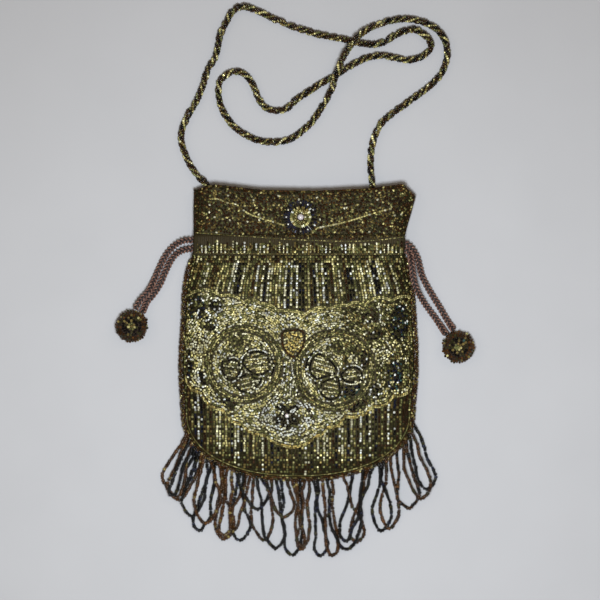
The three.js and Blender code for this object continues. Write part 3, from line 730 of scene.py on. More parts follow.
def declare(piece, replaces=()):
    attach(piece, "root")
    if replaces:
        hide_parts(*replaces)
    return piece


def smooth_mesh(name, vertices, faces):
    mesh = bpy.data.meshes.new(name)
    mesh.from_pydata(np.asarray(vertices).tolist(), [], faces)
    mesh.shade_smooth()
    mesh.validate()
    return mesh


def wall_mesh(name, shares, levels, under, over):
    """A closed wall between two height functions over a grid of shares and levels."""
    share = np.broadcast_to(shares, levels.shape)
    x = across_at(share, levels)
    layers = [np.dstack([x, levels, height(share, levels)]).reshape(-1, 3) for height in (under, over)]
    rows, columns = levels.shape
    layer = rows * columns
    faces = []
    for row in range(rows - 1):
        for column in range(columns - 1):
            a = row * columns + column
            b, c, d = a + 1, a + columns + 1, a + columns
            faces.append((a, d, c, b))
            faces.append((layer + a, layer + b, layer + c, layer + d))
    grid = np.arange(layer).reshape(rows, columns)
    rim = [*grid[0, :-1], *grid[:-1, -1], *grid[-1, :0:-1], *grid[:0:-1, 0]]
    for a, b in zip(rim, [*rim[1:], rim[0]]):
        faces.append((int(a), int(b), int(layer + b), int(layer + a)))
    return smooth_mesh(name, np.vstack(layers), faces)


EDGE_CROWDING = 0.5


def crowded(count):
    """Shares from 0 to 1 that lie closer together towards both ends."""
    even = np.linspace(0, 1, count + 1)
    return even + EDGE_CROWDING * (0.5 - 0.5 * np.cos(np.pi * even) - even)


def between(lower, upper, fractions):
    return lower + (upper - lower) * np.asarray(fractions)[:, None]


def panel_levels(shares, belly, neck, frill):
    """Heights of a panel's grid from its bottom edge through the neck to its rim."""
    low = np.full_like(shares, CASING_LOW)
    high = np.full_like(shares, CASING_HIGH)
    return np.vstack([
        between(bottom_level(shares), low, crowded(belly)),
        between(low, high, np.linspace(0, 1, neck + 1)[1:]),
        between(high, rim_level(shares), np.linspace(0, 1, frill + 1)[1:]),
    ])


def sweep(line, radius, sides):
    """Vertices and faces of a round strand with closed ends."""
    side, up = side_and_up(line)
    turn = np.linspace(0, 2 * np.pi, sides, endpoint=False)
    rings = line[:, None] + radius * (
        np.cos(turn)[None, :, None] * side[:, None] + np.sin(turn)[None, :, None] * up[:, None])
    faces = []
    for ring in range(len(line) - 1):
        for k in range(sides):
            a, b = ring * sides + k, ring * sides + (k + 1) % sides
            faces.append((a, b, b + sides, a + sides))
    last = (len(line) - 1) * sides
    faces.append(tuple(reversed(range(sides))))
    faces.append(tuple(range(last, last + sides)))
    return rings.reshape(-1, 3), faces


def globe(centre, radius, half, columns, levels, top=1.0):
    """Vertices and faces of a flattened ball, whose top point lies at a share of half its height."""
    around = np.linspace(0, 2 * np.pi, columns, endpoint=False)
    tilts = np.linspace(0, np.pi, levels + 1)[1:-1]
    vertices = [centre + (0, 0, top * half)]
    for tilt in tilts:
        out = radius * math.sin(tilt)
        for turn in around:
            vertices.append(
                centre + (out * math.cos(turn), out * math.sin(turn), half * math.cos(tilt)))
    vertices.append(centre - (0, 0, half))
    lowest = 1 + (len(tilts) - 1) * columns
    faces = []
    for k in range(columns):
        after = (k + 1) % columns
        faces.append((0, 1 + k, 1 + after))
        for ring in range(len(tilts) - 1):
            a, b = 1 + ring * columns + k, 1 + ring * columns + after
            faces.append((a, a + columns, b + columns, b))
        faces.append((lowest + k, len(vertices) - 1, lowest + after))
    return vertices, faces


def colour_points(mesh, colours):
    """Gives every point of a mesh its own colour, which the beads' and yarns' materials read."""
    opaque = np.column_stack([colours, np.ones(len(colours))])
    mesh.attributes.new("colour", "FLOAT_COLOR", "POINT").data.foreach_set("color", opaque.ravel())


# Beads

BEAD_TREES = {}
BEAD_SIDES = 8
BEAD_RINGS = 4
CUT_SIDES = 6
BUGLE_SIDES = 6
BEAD_SPREAD = 0.07
BEAD_SEED = 7
# Where the random draws of each kind of beadwork start
SEEDS = {
    "ball_left": 31, "ball_right": 32, "casing": 41, "frill": 51, "stripes": 61, "panel": 71,
    "bugles": 81, "rosette_seeds": 82, "side_edging": 91, "bottom_edging": 92, "fringe": 93, "strap": 95,
}
SEWN_LEAN = 0.5
CORDED_LEAN = 0.1
STRAY = 0.4 * MM


def bead_tree(kind):
    """Sets a bead on every point: turned along its thread, sized and coloured as the point says."""
    tree = bpy.data.node_groups.new(f"Sewn {kind}s", "GeometryNodeTree")
    face = tree.interface
    face.new_socket("Geometry", in_out="INPUT", socket_type="NodeSocketGeometry")
    face.new_socket("Width", in_out="INPUT", socket_type="NodeSocketFloat")
    face.new_socket("Length", in_out="INPUT", socket_type="NodeSocketFloat")
    face.new_socket("Spread", in_out="INPUT", socket_type="NodeSocketFloat")
    face.new_socket("Seed", in_out="INPUT", socket_type="NodeSocketInt")
    face.new_socket("Material", in_out="INPUT", socket_type="NodeSocketMaterial")
    face.new_socket("Geometry", in_out="OUTPUT", socket_type="NodeSocketGeometry")
    given = add_node(tree, "NodeGroupInput").outputs
    roll = add_node(tree, "FunctionNodeRandomValue", {
        2: 0.0, 3: 2 * math.pi, "Seed": given["Seed"],
    }, data_type="FLOAT")
    rolled_first = add_node(tree, "FunctionNodeEulerToRotation", {
        "Euler": add_node(tree, "ShaderNodeCombineXYZ", {"Z": roll.outputs[1]}).outputs[0],
    })
    if kind == "bugle":
        shape = add_node(tree, "GeometryNodeMeshCylinder", {
            "Vertices": BUGLE_SIDES, "Radius": 0.5, "Depth": 1.0,
        })
    else:
        shape = add_node(tree, "GeometryNodeMeshUVSphere", {
            "Segments": CUT_SIDES if kind == "cut" else BEAD_SIDES, "Rings": BEAD_RINGS, "Radius": 0.5,
        })
    shaded = add_node(tree, "GeometryNodeSetShadeSmooth", {
        "Geometry": shape.outputs["Mesh"], "Shade Smooth": kind == "seed",
    })
    along, share = (
        add_node(tree, "GeometryNodeInputNamedAttribute", {"Name": name}, data_type="FLOAT_VECTOR")
        for name in ("along", "size")
    )
    turned = add_node(tree, "FunctionNodeAlignRotationToVector", {
        "Rotation": rolled_first.outputs[0], "Vector": along.outputs[0],
    }, axis="Z")
    least = add_node(tree, "ShaderNodeMath", {0: 1.0, 1: given["Spread"]}, operation="SUBTRACT")
    most = add_node(tree, "ShaderNodeMath", {0: 1.0, 1: given["Spread"]}, operation="ADD")
    uneven = add_node(tree, "FunctionNodeRandomValue", {
        2: least.outputs[0], 3: most.outputs[0], "Seed": given["Seed"],
    }, data_type="FLOAT")
    plain = add_node(tree, "ShaderNodeCombineXYZ", {
        "X": given["Width"], "Y": given["Width"], "Z": given["Length"],
    })
    sized = add_node(tree, "ShaderNodeVectorMath", {
        0: plain.outputs[0], 1: share.outputs[0],
    }, operation="MULTIPLY")
    scaled = add_node(tree, "ShaderNodeVectorMath", {
        0: sized.outputs[0], "Scale": uneven.outputs[1],
    }, operation="SCALE")
    beads = add_node(tree, "GeometryNodeInstanceOnPoints", {
        "Points": given["Geometry"], "Instance": shaded.outputs[0], "Rotation": turned.outputs[0],
        "Scale": scaled.outputs[0],
    })
    real = add_node(tree, "GeometryNodeRealizeInstances", {"Geometry": beads.outputs[0]})
    dressed = add_node(tree, "GeometryNodeSetMaterial", {
        "Geometry": real.outputs[0], "Material": given["Material"],
    })
    add_node(tree, "NodeGroupOutput", {0: dressed.outputs[0]})
    return tree


class Beads:
    """Beads gathered one row at a time: their places, threads' directions, colours and sizes."""

    def __init__(self, seed, colours, room=0.0):
        self.random = np.random.default_rng(seed)
        self.colours = {name: np.array(getattr(colours, name)) for name in BagColours.__annotations__}
        self.room = room
        self.cells = {}
        self.rows = []

    def pick(self, mix, count):
        """That many colours drawn from a mix, each made a little lighter or darker by chance."""
        names = list(MIXES[mix])
        odds = np.array([MIXES[mix][name] for name in names], float)
        chosen = self.random.choice(len(names), count, p=odds / odds.sum())
        lightness = np.exp(self.random.normal(0, BRIGHTNESS_SPREAD, (count, 1)))
        return np.clip(np.array([self.colours[names[i]] for i in chosen]) * lightness, 0, 1)

    def add(self, places, along, mix, width=1.0, length=1.0):
        if len(places):
            sizes = np.tile((width, width, length), (len(places), 1))
            colours = self.pick(mix, len(places))
            self.rows.append((np.asarray(places), np.asarray(along), colours, sizes))

    def free(self, x, y, room):
        """Whether no bead lies within the room asked for, and if so, the place is taken."""
        column, row = int(x // self.room), int(y // self.room)
        for i in (column - 1, column, column + 1):
            for j in (row - 1, row, row + 1):
                for other_x, other_y in self.cells.get((i, j), ()):
                    if (x - other_x) ** 2 + (y - other_y) ** 2 < room**2:
                        return False
        self.cells.setdefault((column, row), []).append((x, y))
        return True

    def piece(self, name, kind, width, length, material, slot, replaces=(), spread=BEAD_SPREAD):
        """Turns the gathered rows into one mesh of beads."""
        places, along, colours, sizes = (np.vstack(column) for column in zip(*self.rows))
        mesh = bpy.data.meshes.new(name)
        mesh.from_pydata(places.tolist(), [], [])
        for title, values in (("along", along), ("size", sizes)):
            attribute = mesh.attributes.new(title, "FLOAT_VECTOR", "POINT")
            attribute.data.foreach_set("vector", values.ravel())
        colour_points(mesh, colours)
        piece = bpy.data.objects.new(name, mesh)
        bpy.context.scene.collection.objects.link(piece)
        if kind not in BEAD_TREES:
            BEAD_TREES[kind] = bead_tree(kind)
        tree = BEAD_TREES[kind]
        modifier = piece.modifiers.new("Beads", "NODES")
        modifier.node_group = tree
        values = {
            "Width": width, "Length": length, "Spread": spread, "Seed": BEAD_SEED, "Material": material,
        }
        for socket in tree.interface.items_tree:
            if socket.in_out == "INPUT" and socket.name in values:
                modifier[socket.identifier] = values[socket.name]
        graph = bpy.context.evaluated_depsgraph_get()
        real = bpy.data.meshes.new_from_object(
            piece.evaluated_get(graph), preserve_all_data_layers=True, depsgraph=graph)
        piece.modifiers.clear()
        piece.data = real
        bpy.data.meshes.remove(mesh)
        for title in ("along", "size"):
            real.attributes.remove(real.attributes[title])
        return declare(piece, replaces)


class FrontBeads(Beads):
    """Beads sewn on the front, placed across and up it and set on what lies under them."""

    def __init__(self, seed, context, top=front_top):
        self.sizes = context.scene.bag_sizes
        super().__init__(seed, context.scene.bag_colours, room=self.sizes.bead_room)
        self.top = top

    def sew(self, flat, ahead, mix, width=1.0, length=1.0, lean=SEWN_LEAN):
        """Sews beads at flat places, each lying nearly along its direction on the surface."""
        flat, ahead = np.asarray(flat, float), np.asarray(ahead, float)
        if not len(flat):
            return
        turn = np.arctan2(ahead[:, 1], ahead[:, 0]) + self.random.normal(0, lean, len(flat))
        ahead = np.column_stack([np.cos(turn), np.sin(turn)])
        flat = flat + self.random.normal(0, lean * STRAY, flat.shape)
        height = self.top(flat[:, 0], flat[:, 1])
        step = flat + ahead * SLOPE_STEP
        rise = (self.top(step[:, 0], step[:, 1]) - height) / SLOPE_STEP
        sunk = height - self.sizes.sewn_depth
        self.add(np.column_stack([flat, sunk]), np.column_stack([ahead, rise]), mix, width, length)

    def row(self, line, mix, width=1.0, inside=None, room=None, keep=False, gaps=0.0, lean=SEWN_LEAN):
        """A row of beads along a flat line, left out by chance and where there is no room for them."""
        line = spaced(line, width * self.sizes.thread_pitch)
        ahead = directions(line)
        room = self.room * width if room is None else room
        wanted = self.random.random(len(line)) >= gaps
        if inside is not None:
            wanted &= inside(line[:, 0], line[:, 1])
        chosen = [i for i in range(len(line)) if wanted[i] and (self.free(*line[i], room) or keep)]
        self.sew(line[chosen], ahead[chosen], mix, width, width, lean)

    def scatter(self, low, high, count, inside, mix, room):
        """Beads lying every way wherever there is still room between two corners."""
        spots = self.random.uniform(low, high, (count, 2))
        turns = self.random.uniform(0, np.pi, count)
        wanted = inside(spots[:, 0], spots[:, 1])
        chosen = [i for i in range(count) if wanted[i] and self.free(*spots[i], room)]
        self.sew(spots[chosen], np.column_stack([np.cos(turns), np.sin(turns)])[chosen], mix)

    def sewn(self, name, slot):
        """The gathered beads as one piece of the front's cut and galvanised ones."""
        return self.piece(
            name, "cut", self.sizes.bead_width, self.sizes.bead_length, material_once(galvanised_beads),
            slot)


UPPER_LINE = scallops(UPPER_CUSPS, UPPER_BULGES)
LOWER_LINE = scallops(LOWER_CUSPS, LOWER_BULGES)
LINE_ROOM, EDGE_ROOM, RIM_ROOM = mm((1.3, 1.9, 3))
FRILL_SIDES = (0.014, 0.986)


def level_on(line, x):
    """Height of a line that runs across the front, at a distance across."""
    order = np.argsort(line[:, 0])
    return np.interp(x, line[order, 0], line[order, 1])


def clear_of_edge(x, y):
    return edge_distance(share_at(x, y), y) > EDGE_ROOM


def in_panel(x, y):
    under_upper = y < level_on(UPPER_LINE, x) - LINE_ROOM
    over_lower = y > level_on(LOWER_LINE, x) + LINE_ROOM
    return under_upper & over_lower & clear_of_edge(x, y)


def in_frill(x, y):
    share = share_at(x, y)
    beside = (share > FRILL_SIDES[0]) & (share < FRILL_SIDES[1])
    clear = np.hypot(x - ROSETTE_CENTRE[0], y - ROSETTE_CENTRE[1]) > ROSETTE_RADIUS
    between_lines = (y > level_on(NECK_LINE, x) + LINE_ROOM) & (y < rim_level(share) - RIM_ROOM)
    return between_lines & beside & clear


def frill_top(x, y):
    """The frill's surface, which runs on over the casing ribbon's top edge."""
    return np.where(y < CASING_HIGH + CLEARANCE, casing_top(x, y), front_top(x, y))


def ellipse(petal, grow=0.0, points=72):
    turn = np.linspace(0, 2 * np.pi, points)
    across = (petal.across * MM + grow) * np.cos(turn)
    up = (petal.up * MM + grow) * np.sin(turn)
    lean = math.radians(petal.turn)
    return np.column_stack([
        petal.x * MM + across * math.cos(lean) - up * math.sin(lean),
        petal.y * MM + across * math.sin(lean) + up * math.cos(lean),
    ])


CLOSED_STEP = 0.8 * MM


def closed(points):
    """A smooth closed line through a few points."""
    return spaced(catmull_rom(np.vstack([points, points[:1]])), CLOSED_STEP)


def grown(line, out):
    """A closed line moved outwards by a distance."""
    ahead = directions(line)
    right = np.column_stack([ahead[:, 1], -ahead[:, 0]])
    after = np.roll(line, -1, axis=0)
    area = (line[:, 0] * after[:, 1] - after[:, 0] * line[:, 1]).sum()
    return line + out * np.sign(area) * right


def inside_line(line, x, y):
    """Whether places lie inside a closed line, by how often a ray from each crosses it."""
    odd = np.zeros(len(x), bool)
    for (ax, ay), (bx, by) in zip(line, np.roll(line, -1, axis=0)):
        if ay != by:
            odd ^= ((ay > y) != (by > y)) & (x < ax + (bx - ax) * (y - ay) / (by - ay))
    return odd


# Stage

VIEW_CENTRE = mm((0.67, 30.15))
VIEW_WIDTH, CAMERA_HEIGHT, FOCUS_HEIGHT = mm((402, 3000, 6))
TABLE_REACH = 4.0
LAMP_SPREAD = math.radians(110)
LAMP_SIZE = 0.1
SOFT_SIZE = 0.5
COOL_WHITE = (0.88, 0.94, 1.0)
WARM_WHITE = (1.0, 0.86, 0.68)
ROOM_COLOUR = (1.0, 0.84, 0.66, 1)
ROOM_STRENGTH = 0.36
Light = namedtuple("Light", "name kind place target watts colour")
LIGHTS = [Light(*row) for row in (
    ("lamp", "SPOT", (0.005, -0.08, 0.8), (0.005, -0.08, 0), 43, COOL_WHITE),
    ("window", "AREA", (-0.9, 0.3, 0.9), (0, 0, 0), 1.2, WARM_WHITE),
    ("room", "AREA", (0.8, 0.7, 1.1), (0, 0, 0), 1.4, WARM_WHITE),
)]


def hang_light(scene, light):
    """One soft light of the studio, turned to its target and out of the camera's sight."""
    source = bpy.data.lights.new(light.name, light.kind)
    source.energy = light.watts
    source.color = light.colour
    if light.kind == "SPOT":
        source.spot_size = LAMP_SPREAD
        source.spot_blend = 1.0
        source.shadow_soft_size = LAMP_SIZE
    else:
        source.shape = "DISK"
        source.size = SOFT_SIZE
    hung = bpy.data.objects.new(light.name, source)
    hung.location = light.place
    hung.rotation_mode = "QUATERNION"
    hung.rotation_quaternion = (Vector(light.target) - Vector(light.place)).to_track_quat("-Z", "Y")
    hung.visible_camera = False
    scene.collection.objects.link(hung)


def light_room(scene):
    """Even warm light from the room all round."""
    world = bpy.data.worlds.new("studio")
    world.use_nodes = True
    background = world.node_tree.nodes["Background"]
    background.inputs["Color"].default_value = ROOM_COLOUR
    background.inputs["Strength"].default_value = ROOM_STRENGTH
    scene.world = world


def lay_table(scene):
    """The pale table top that the bag lies on."""
    signs = ((-1, -1), (1, -1), (1, 1), (-1, 1))
    mesh = bpy.data.meshes.new("table")
    mesh.from_pydata([(x * TABLE_REACH, y * TABLE_REACH, 0) for x, y in signs], [], [(0, 1, 2, 3)])
    mesh.materials.append(material_once(table_board))
    table = bpy.data.objects.new("table", mesh)
    scene.collection.objects.link(table)


class BAG_OT_stage(bpy.types.Operator):
    """Sets the camera straight above the bag, soft studio lights and a pale table"""

    bl_idname = "bag.stage"
    bl_label = "Stage and camera"

    def execute(self, context):
        scene = context.scene
        camera = bpy.data.objects.new("camera", bpy.data.cameras.new("camera"))
        camera.location = (*VIEW_CENTRE, CAMERA_HEIGHT)
        camera.data.lens = camera.data.sensor_width / VIEW_WIDTH * (CAMERA_HEIGHT - FOCUS_HEIGHT)
        scene.collection.objects.link(camera)
        scene.camera = camera
        for light in LIGHTS:
            hang_light(scene, light)
        light_room(scene)
        scene.view_settings.view_transform = "Standard"
        lay_table(scene)
        return {"FINISHED"}


# Drawstrings and balls

CORD_COLOURS = ("6e4e41", "5e4035", "785748")
# The plait's core: a real core, coloured this dark as painted shade in the gaps between the yarns
CORD_CORE_SHADE = "160906"
CORD_STEP = 0.5 * MM
YARN_SIDES = 8
BALL_BEAD, BALL_BEAD_LENGTH, BALL_EYE, BALL_DARK = mm((2.2, 1.75, 2.4, 7.4))
BALL_SUNK = 0.55 * BALL_BEAD
BALL_RING_PITCH = 0.86 * BALL_BEAD
BALL_KNOBBLY = 0.03
BALL_SPREAD = 0.14
BALL_COLUMNS = 32
BALL_LEVELS = 16


def ball_mix(across):
    """The mix of one ring of a ball's beads, by its distance from the ball's middle."""
    if across < BALL_EYE:
        return "ball_eye"
    return "ball_ring" if across < BALL_DARK else "ball_outer"


def ball_pieces(context, side):
    """A flat felt ball and the rings of beads that cover it."""
    centre = np.append(BALL_PLACES[side], BALL_HALF_HEIGHT)
    radius, half = BALL_RADIUS - BALL_SUNK, BALL_HALF_HEIGHT - BALL_SUNK
    turn = np.linspace(0, np.pi, 200)
    meridian = np.column_stack([radius * np.sin(turn), half * np.cos(turn)])
    beads = Beads(SEEDS[f"ball_{side}"], context.scene.bag_colours)
    for across, up in spaced(meridian, BALL_RING_PITCH):
        count = max(1, round(2 * np.pi * across / BALL_BEAD_LENGTH))
        angle = 2 * np.pi * (np.arange(count) + beads.random.random()) / count
        out = across * (1 + beads.random.normal(0, BALL_KNOBBLY, count))
        ring = np.column_stack([out * np.cos(angle), out * np.sin(angle), np.full(count, up)])
        along = np.column_stack([-np.sin(angle), np.cos(angle), np.zeros(count)])
        beads.add(centre + ring, along, ball_mix(across))
    felt = smooth_mesh(f"ball_core_{side}", *globe(centre, radius, half, BALL_COLUMNS, BALL_LEVELS))
    core = new_piece(f"ball_core_{side}", felt, material_once(felt_core))
    cover = beads.piece(
        f"ball_beads_{side}", "cut", BALL_BEAD, BALL_BEAD_LENGTH, material_once(lustred_glass),
        "ball_beads", [f"ball_{side}"], spread=BALL_SPREAD)
    return [core, cover]


class BAG_OT_drawstrings(bpy.types.Operator):
    """Plaits the four drawstrings from their slits to their beaded balls"""

    bl_idname = "bag.drawstrings"
    bl_label = "Drawstrings and balls"

    def execute(self, context):
        sizes = context.scene.bag_sizes
        balls = {side: ball_pieces(context, side) for side in BALL_PLACES}
        for name, route in CORD_ROUTES.items():
            path = spaced(catmull_rom(route), CORD_STEP)
            at = line_lengths(path)
            mesh = self.plait(f"drawstring_{name}", path, at, sizes)
            cord = new_piece(
                f"cord_{name}", mesh, material_once(viscose_plait),
                [f"drawstring_{name}"])
        return {"FINISHED"}

    def plait(self, name, path, at, sizes):
        """Yarns that cross over and under each other about a core along the path, which is coloured dark
        as painted shade in the gaps between them.
        """
        yarn_radius, core_radius = 0.12 * sizes.cord_width, 0.37 * sizes.cord_width
        swing, crossing = 0.41 * sizes.cord_width, 0.38 * sizes.cord_width
        side, up = side_and_up(path)
        yarns = [(path, core_radius, CORD_CORE_SHADE)]
        for strand, code in enumerate(CORD_COLOURS):
            turn = 2 * np.pi * (at / sizes.plait_lay + strand / len(CORD_COLOURS))
            sideways = (swing * np.sin(turn))[:, None] * side
            upwards = (crossing * np.sin(2 * turn))[:, None] * up
            yarns.append((path + sideways + upwards, yarn_radius, code))
        vertices, faces, colours, wraps = [], [], [], []
        for line, radius, code in yarns:
            points, strand_faces = sweep(line, radius, YARN_SIDES)
            faces += [tuple(i + len(vertices) for i in face) for face in strand_faces]
            vertices += points.tolist()
            colours += [linear(code)] * len(points)
            along = np.repeat(at / (2 * np.pi * radius), YARN_SIDES)
            around = np.tile(np.arange(YARN_SIDES) / YARN_SIDES, len(line))
            wraps += np.column_stack([along, around]).tolist()
        mesh = smooth_mesh(name, vertices, faces)
        colour_points(mesh, colours)
        corners = np.zeros(len(mesh.loops), np.int32)
        mesh.loops.foreach_get("vertex_index", corners)
        mesh.uv_layers.new(name="UVMap").data.foreach_set("uv", np.array(wraps)[corners].ravel())
        return mesh


# Cloth and casing

CLOTH_COLUMNS = 110
BELLY_ROWS, NECK_ROWS, FRILL_ROWS = 60, 8, 14


class BAG_OT_cloth(bpy.types.Operator):
    """Makes the front and back cloth of the pouch, with the gathers that the neck presses into them"""

    bl_idname = "bag.cloth"
    bl_label = "Front and back cloth"

    def execute(self, context):
        thickness = context.scene.bag_sizes.cloth_thickness
        shares = crowded(CLOTH_COLUMNS)
        levels = panel_levels(shares, BELLY_ROWS, NECK_ROWS, FRILL_ROWS)

        def inner(share, y):
            return front_over(share, y) - WALL

        front = wall_mesh("front_cloth", shares, levels, inner, lambda s, y: inner(s, y) + thickness)
        front_piece = new_piece(
            "front_cloth", front, material_once(lame_cloth_dark_as_shade), ["front_panel"])
        back = wall_mesh("back_cloth", shares, levels, back_under, lambda s, y: back_under(s, y) + WALL)
        back_piece = new_piece(
            "back_cloth", back, material_once(satin_cloth), ["back_panel"])
        return {"FINISHED"}


RIB_MIXES = ("silver_column", "cream_column", "cream_fill", "olive_column")
RIB_ODDS = (0.3, 0.3, 0.15, 0.25)
RIB_DEPTH, RIB_PITCH = mm((0.34, 2.6))
RIBS_EACH_SIDE = 26
COLUMN_LOW, COLUMN_HIGH, COLUMN_RAGGED, COLUMN_NECK_ROOM = mm((62.3, 67.0, 1.3, 2.4))
COLUMN_WIDTHS = (0.9, 1.25)
RIBBON_ENDS, RIBBON_BACK_ENDS = 0.0196, 0.05
RIBBON_COLUMNS, RIBBON_BACK_COLUMNS, RIBBON_ROWS = 420, 300, 9


class BAG_OT_casing(bpy.types.Operator):
    """Makes the ribbed casing ribbons round the neck and their short bead columns"""

    bl_idname = "bag.casing"
    bl_label = "Casing"

    def execute(self, context):
        rows = np.linspace(CASING_LOW, CASING_HIGH, RIBBON_ROWS)
        shares = np.linspace(RIBBON_ENDS, 1 - RIBBON_ENDS, RIBBON_COLUMNS)
        levels = np.repeat(rows[:, None], len(shares), axis=1)

        def ribs(share, y):
            return RIB_DEPTH * np.cos(2 * np.pi * across_at(share, y) / RIB_PITCH)

        def under(share, y):
            return front_over(share, y) + CLEARANCE

        def over(share, y):
            return under(share, y) + CASING_THICK - RIB_DEPTH + ribs(share, y)

        def back_low(share, y):
            return back_under(share, y) - CLEARANCE - CASING_THICK

        def back_outside(share, y):
            return back_low(share, y) + RIB_DEPTH - ribs(share, y)

        def back_inside(share, y):
            return back_low(share, y) + CASING_THICK

        ribbon = wall_mesh("casing_ribbon", shares, levels, under, over)
        new_piece(
            "casing_ribbon", ribbon, material_once(ribbon_cloth), ["casing_front"])
        back_shares = np.linspace(RIBBON_BACK_ENDS, 1 - RIBBON_BACK_ENDS, RIBBON_BACK_COLUMNS)
        back_levels = np.repeat(rows[:, None], len(back_shares), axis=1)
        back = wall_mesh("casing_ribbon_back", back_shares, back_levels, back_outside, back_inside)
        new_piece("casing_ribbon_back", back, material_once(satin_cloth), ["casing_back"])
        self.columns(context)
        return {"FINISHED"}

    def columns(self, context):
        """Short columns of beads on the front ribbon: one on each rib and a dark one beside it."""
        beads = FrontBeads(SEEDS["casing"], context, casing_top)
        for x in RIB_PITCH * np.arange(-RIBS_EACH_SIDE, RIBS_EACH_SIDE + 1):
            rib_mix = beads.random.choice(RIB_MIXES, p=RIB_ODDS)
            for aside, mix in ((0.0, rib_mix), (0.5, "stripe_foot")):
                top = COLUMN_HIGH + beads.random.normal(0, COLUMN_RAGGED)
                highest = level_on(NECK_LINE, x) - COLUMN_NECK_ROOM
                top = max(COLUMN_LOW + RIB_PITCH, min(top, highest))
                across = x + aside * RIB_PITCH
                width = beads.random.uniform(*COLUMN_WIDTHS)
                line = [(across, COLUMN_LOW), (across, top)]
                beads.row(line, mix, width, room=0.0, lean=STRIPED_LEAN)
        beads.sewn("casing_beads", "ribbed_casing")


# Beads of the front

TRIM_INSETS = mm((0.7, 2.3))
TRIM_ENDS = 0.004
TRIM_SIDES = (0.007, 0.993)
TRIM_FOOT = 75.5 * MM
FRILL_CORNERS = mm([(-71, 68), (79, 108)])
FRILL_TRIES = 30000


class BAG_OT_frill(bpy.types.Operator):
    """Covers the frill above the neck with mottled beads, its rim trim and gold lines"""

    bl_idname = "bag.frill"
    bl_label = "Frill beads"

    def execute(self, context):
        beads = FrontBeads(SEEDS["frill"], context, frill_top)
        for line in (NECK_LINE, CASING_LINE):
            beads.row(catmull_rom(line), "worn_cord", 0.65, keep=True, lean=CORDED_LEAN)
        for line in FRILL_LINES:
            beads.row(
                catmull_rom(line), "frill_cord", 1.1, inside=in_frill, keep=True, lean=CORDED_LEAN)
        shares = np.linspace(TRIM_ENDS, 1 - TRIM_ENDS, 160)
        for inset in TRIM_INSETS:
            level = rim_level(shares) - inset
            beads.row(np.column_stack([across_at(shares, level), level]), "copper_trim", room=0.0)
        for share in TRIM_SIDES:
            heights = np.linspace(TRIM_FOOT, rim_level(share) - RIM_ROOM, 40)
            line = np.column_stack([across_at(share, heights), heights])
            beads.row(line, "copper_trim", room=0.0)
        beads.scatter(*FRILL_CORNERS, FRILL_TRIES, in_frill, "frill", beads.sizes.bead_room)
        beads.sewn("frill_beads", "beaded_front")
        return {"FINISHED"}


MOTTLED_FROM, FOOT_FROM, FOOT_SAG, DRAWN_FROM = mm((54.4, -64, 14, 28))
STRIPES_TOP = CASING_LOW - 0.9 * MM
STRIPES_END, STRIPES_BOTTOM_ROOM, STRIPES_SHAKEN, STRIPES_RAGGED = mm((-90, 1.6, 0.16, 3))
STRIPE_BEAD_WIDTH = 1.2
SEAM_TOP = 60 * MM
BOTTOM_TRIMS = ((0.4, "copper_trim", 0.9), (-1.0, "worn_cord", 0.6))
SEAM_TRIMS = ((-0.4, "copper_trim"), (1.2, "olive_column"), (2.8, "brown_column"))
SEAM_BEAD_WIDTH = 0.9


class BAG_OT_stripes(bpy.types.Operator):
    """Sews the striped columns above and below the ornamented panel, and the line along the bottom"""

    bl_idname = "bag.stripes"
    bl_label = "Striped belly"

    def execute(self, context):
        beads = FrontBeads(SEEDS["stripes"], context)
        for column in range(len(UPPER_STRIPES)):
            self.column(beads, column)
        half_turn = np.linspace(0, np.pi, 240)
        for out, mix, width in BOTTOM_TRIMS:
            x = BOTTOM_MIDDLE + (BOTTOM_HALF_WIDTH + out * MM) * np.cos(half_turn)
            line = np.column_stack([x, bottom_at(x, out * MM)])
            beads.row(line, mix, width, keep=True, lean=CORDED_LEAN)
        heights = np.linspace(BEND_Y, SEAM_TOP, 80)
        for share, side in ((0.0, 1), (1.0, -1)):
            for inwards, mix in SEAM_TRIMS:
                x = across_at(share, heights) + side * inwards * MM
                beads.row(np.column_stack([x, heights]), mix, SEAM_BEAD_WIDTH, room=0.0)
        beads.sewn("stripe_beads", "beaded_front")
        return {"FINISHED"}

    def column(self, beads, column):
        """One column from the neck to the bottom, mottled at its top and brown at its foot."""
        share = (column - SPARE_STRIPES + 0.5) / (len(UPPER_STRIPES) - 2 * SPARE_STRIPES)
        heights = np.arange(STRIPES_TOP, STRIPES_END, -beads.sizes.thread_pitch)
        drawn = DRAWN_IN * np.clip((heights - DRAWN_FROM) / (CASING_LOW - DRAWN_FROM), 0, 1)
        x = across_at(0.5 + (share - 0.5) * (1 - drawn), heights)
        above = heights > level_on(UPPER_LINE, x) + LINE_ROOM
        below = heights < level_on(LOWER_LINE, x) - LINE_ROOM
        clear = clear_of_edge(x, heights) & (heights > bottom_at(x) + STRIPES_BOTTOM_ROOM)
        wanted = (above | below) & clear
        shaken = beads.random.normal(0, STRIPES_SHAKEN, len(x))
        flat = np.column_stack([x + shaken, heights])
        ahead = np.tile((0.0, -1.0), (len(x), 1))
        ragged = beads.random.normal(0, STRIPES_RAGGED, len(x))
        top = heights + ragged / 2 > MOTTLED_FROM
        foot = heights + 2 * ragged < FOOT_FROM - FOOT_SAG * (1 - (2 * share - 1) ** 2)
        for chosen, mix in (
            (above & top, "mottled"), (above & ~top, STRIPE_BEADS[UPPER_STRIPES[column]]),
            (below & ~foot, STRIPE_BEADS[LOWER_STRIPES[column]]), (below & foot, "stripe_foot"),
        ):
            sewn = wanted & chosen
            beads.sew(flat[sewn], ahead[sewn], mix, STRIPE_BEAD_WIDTH, 1.0, STRIPED_LEAN)


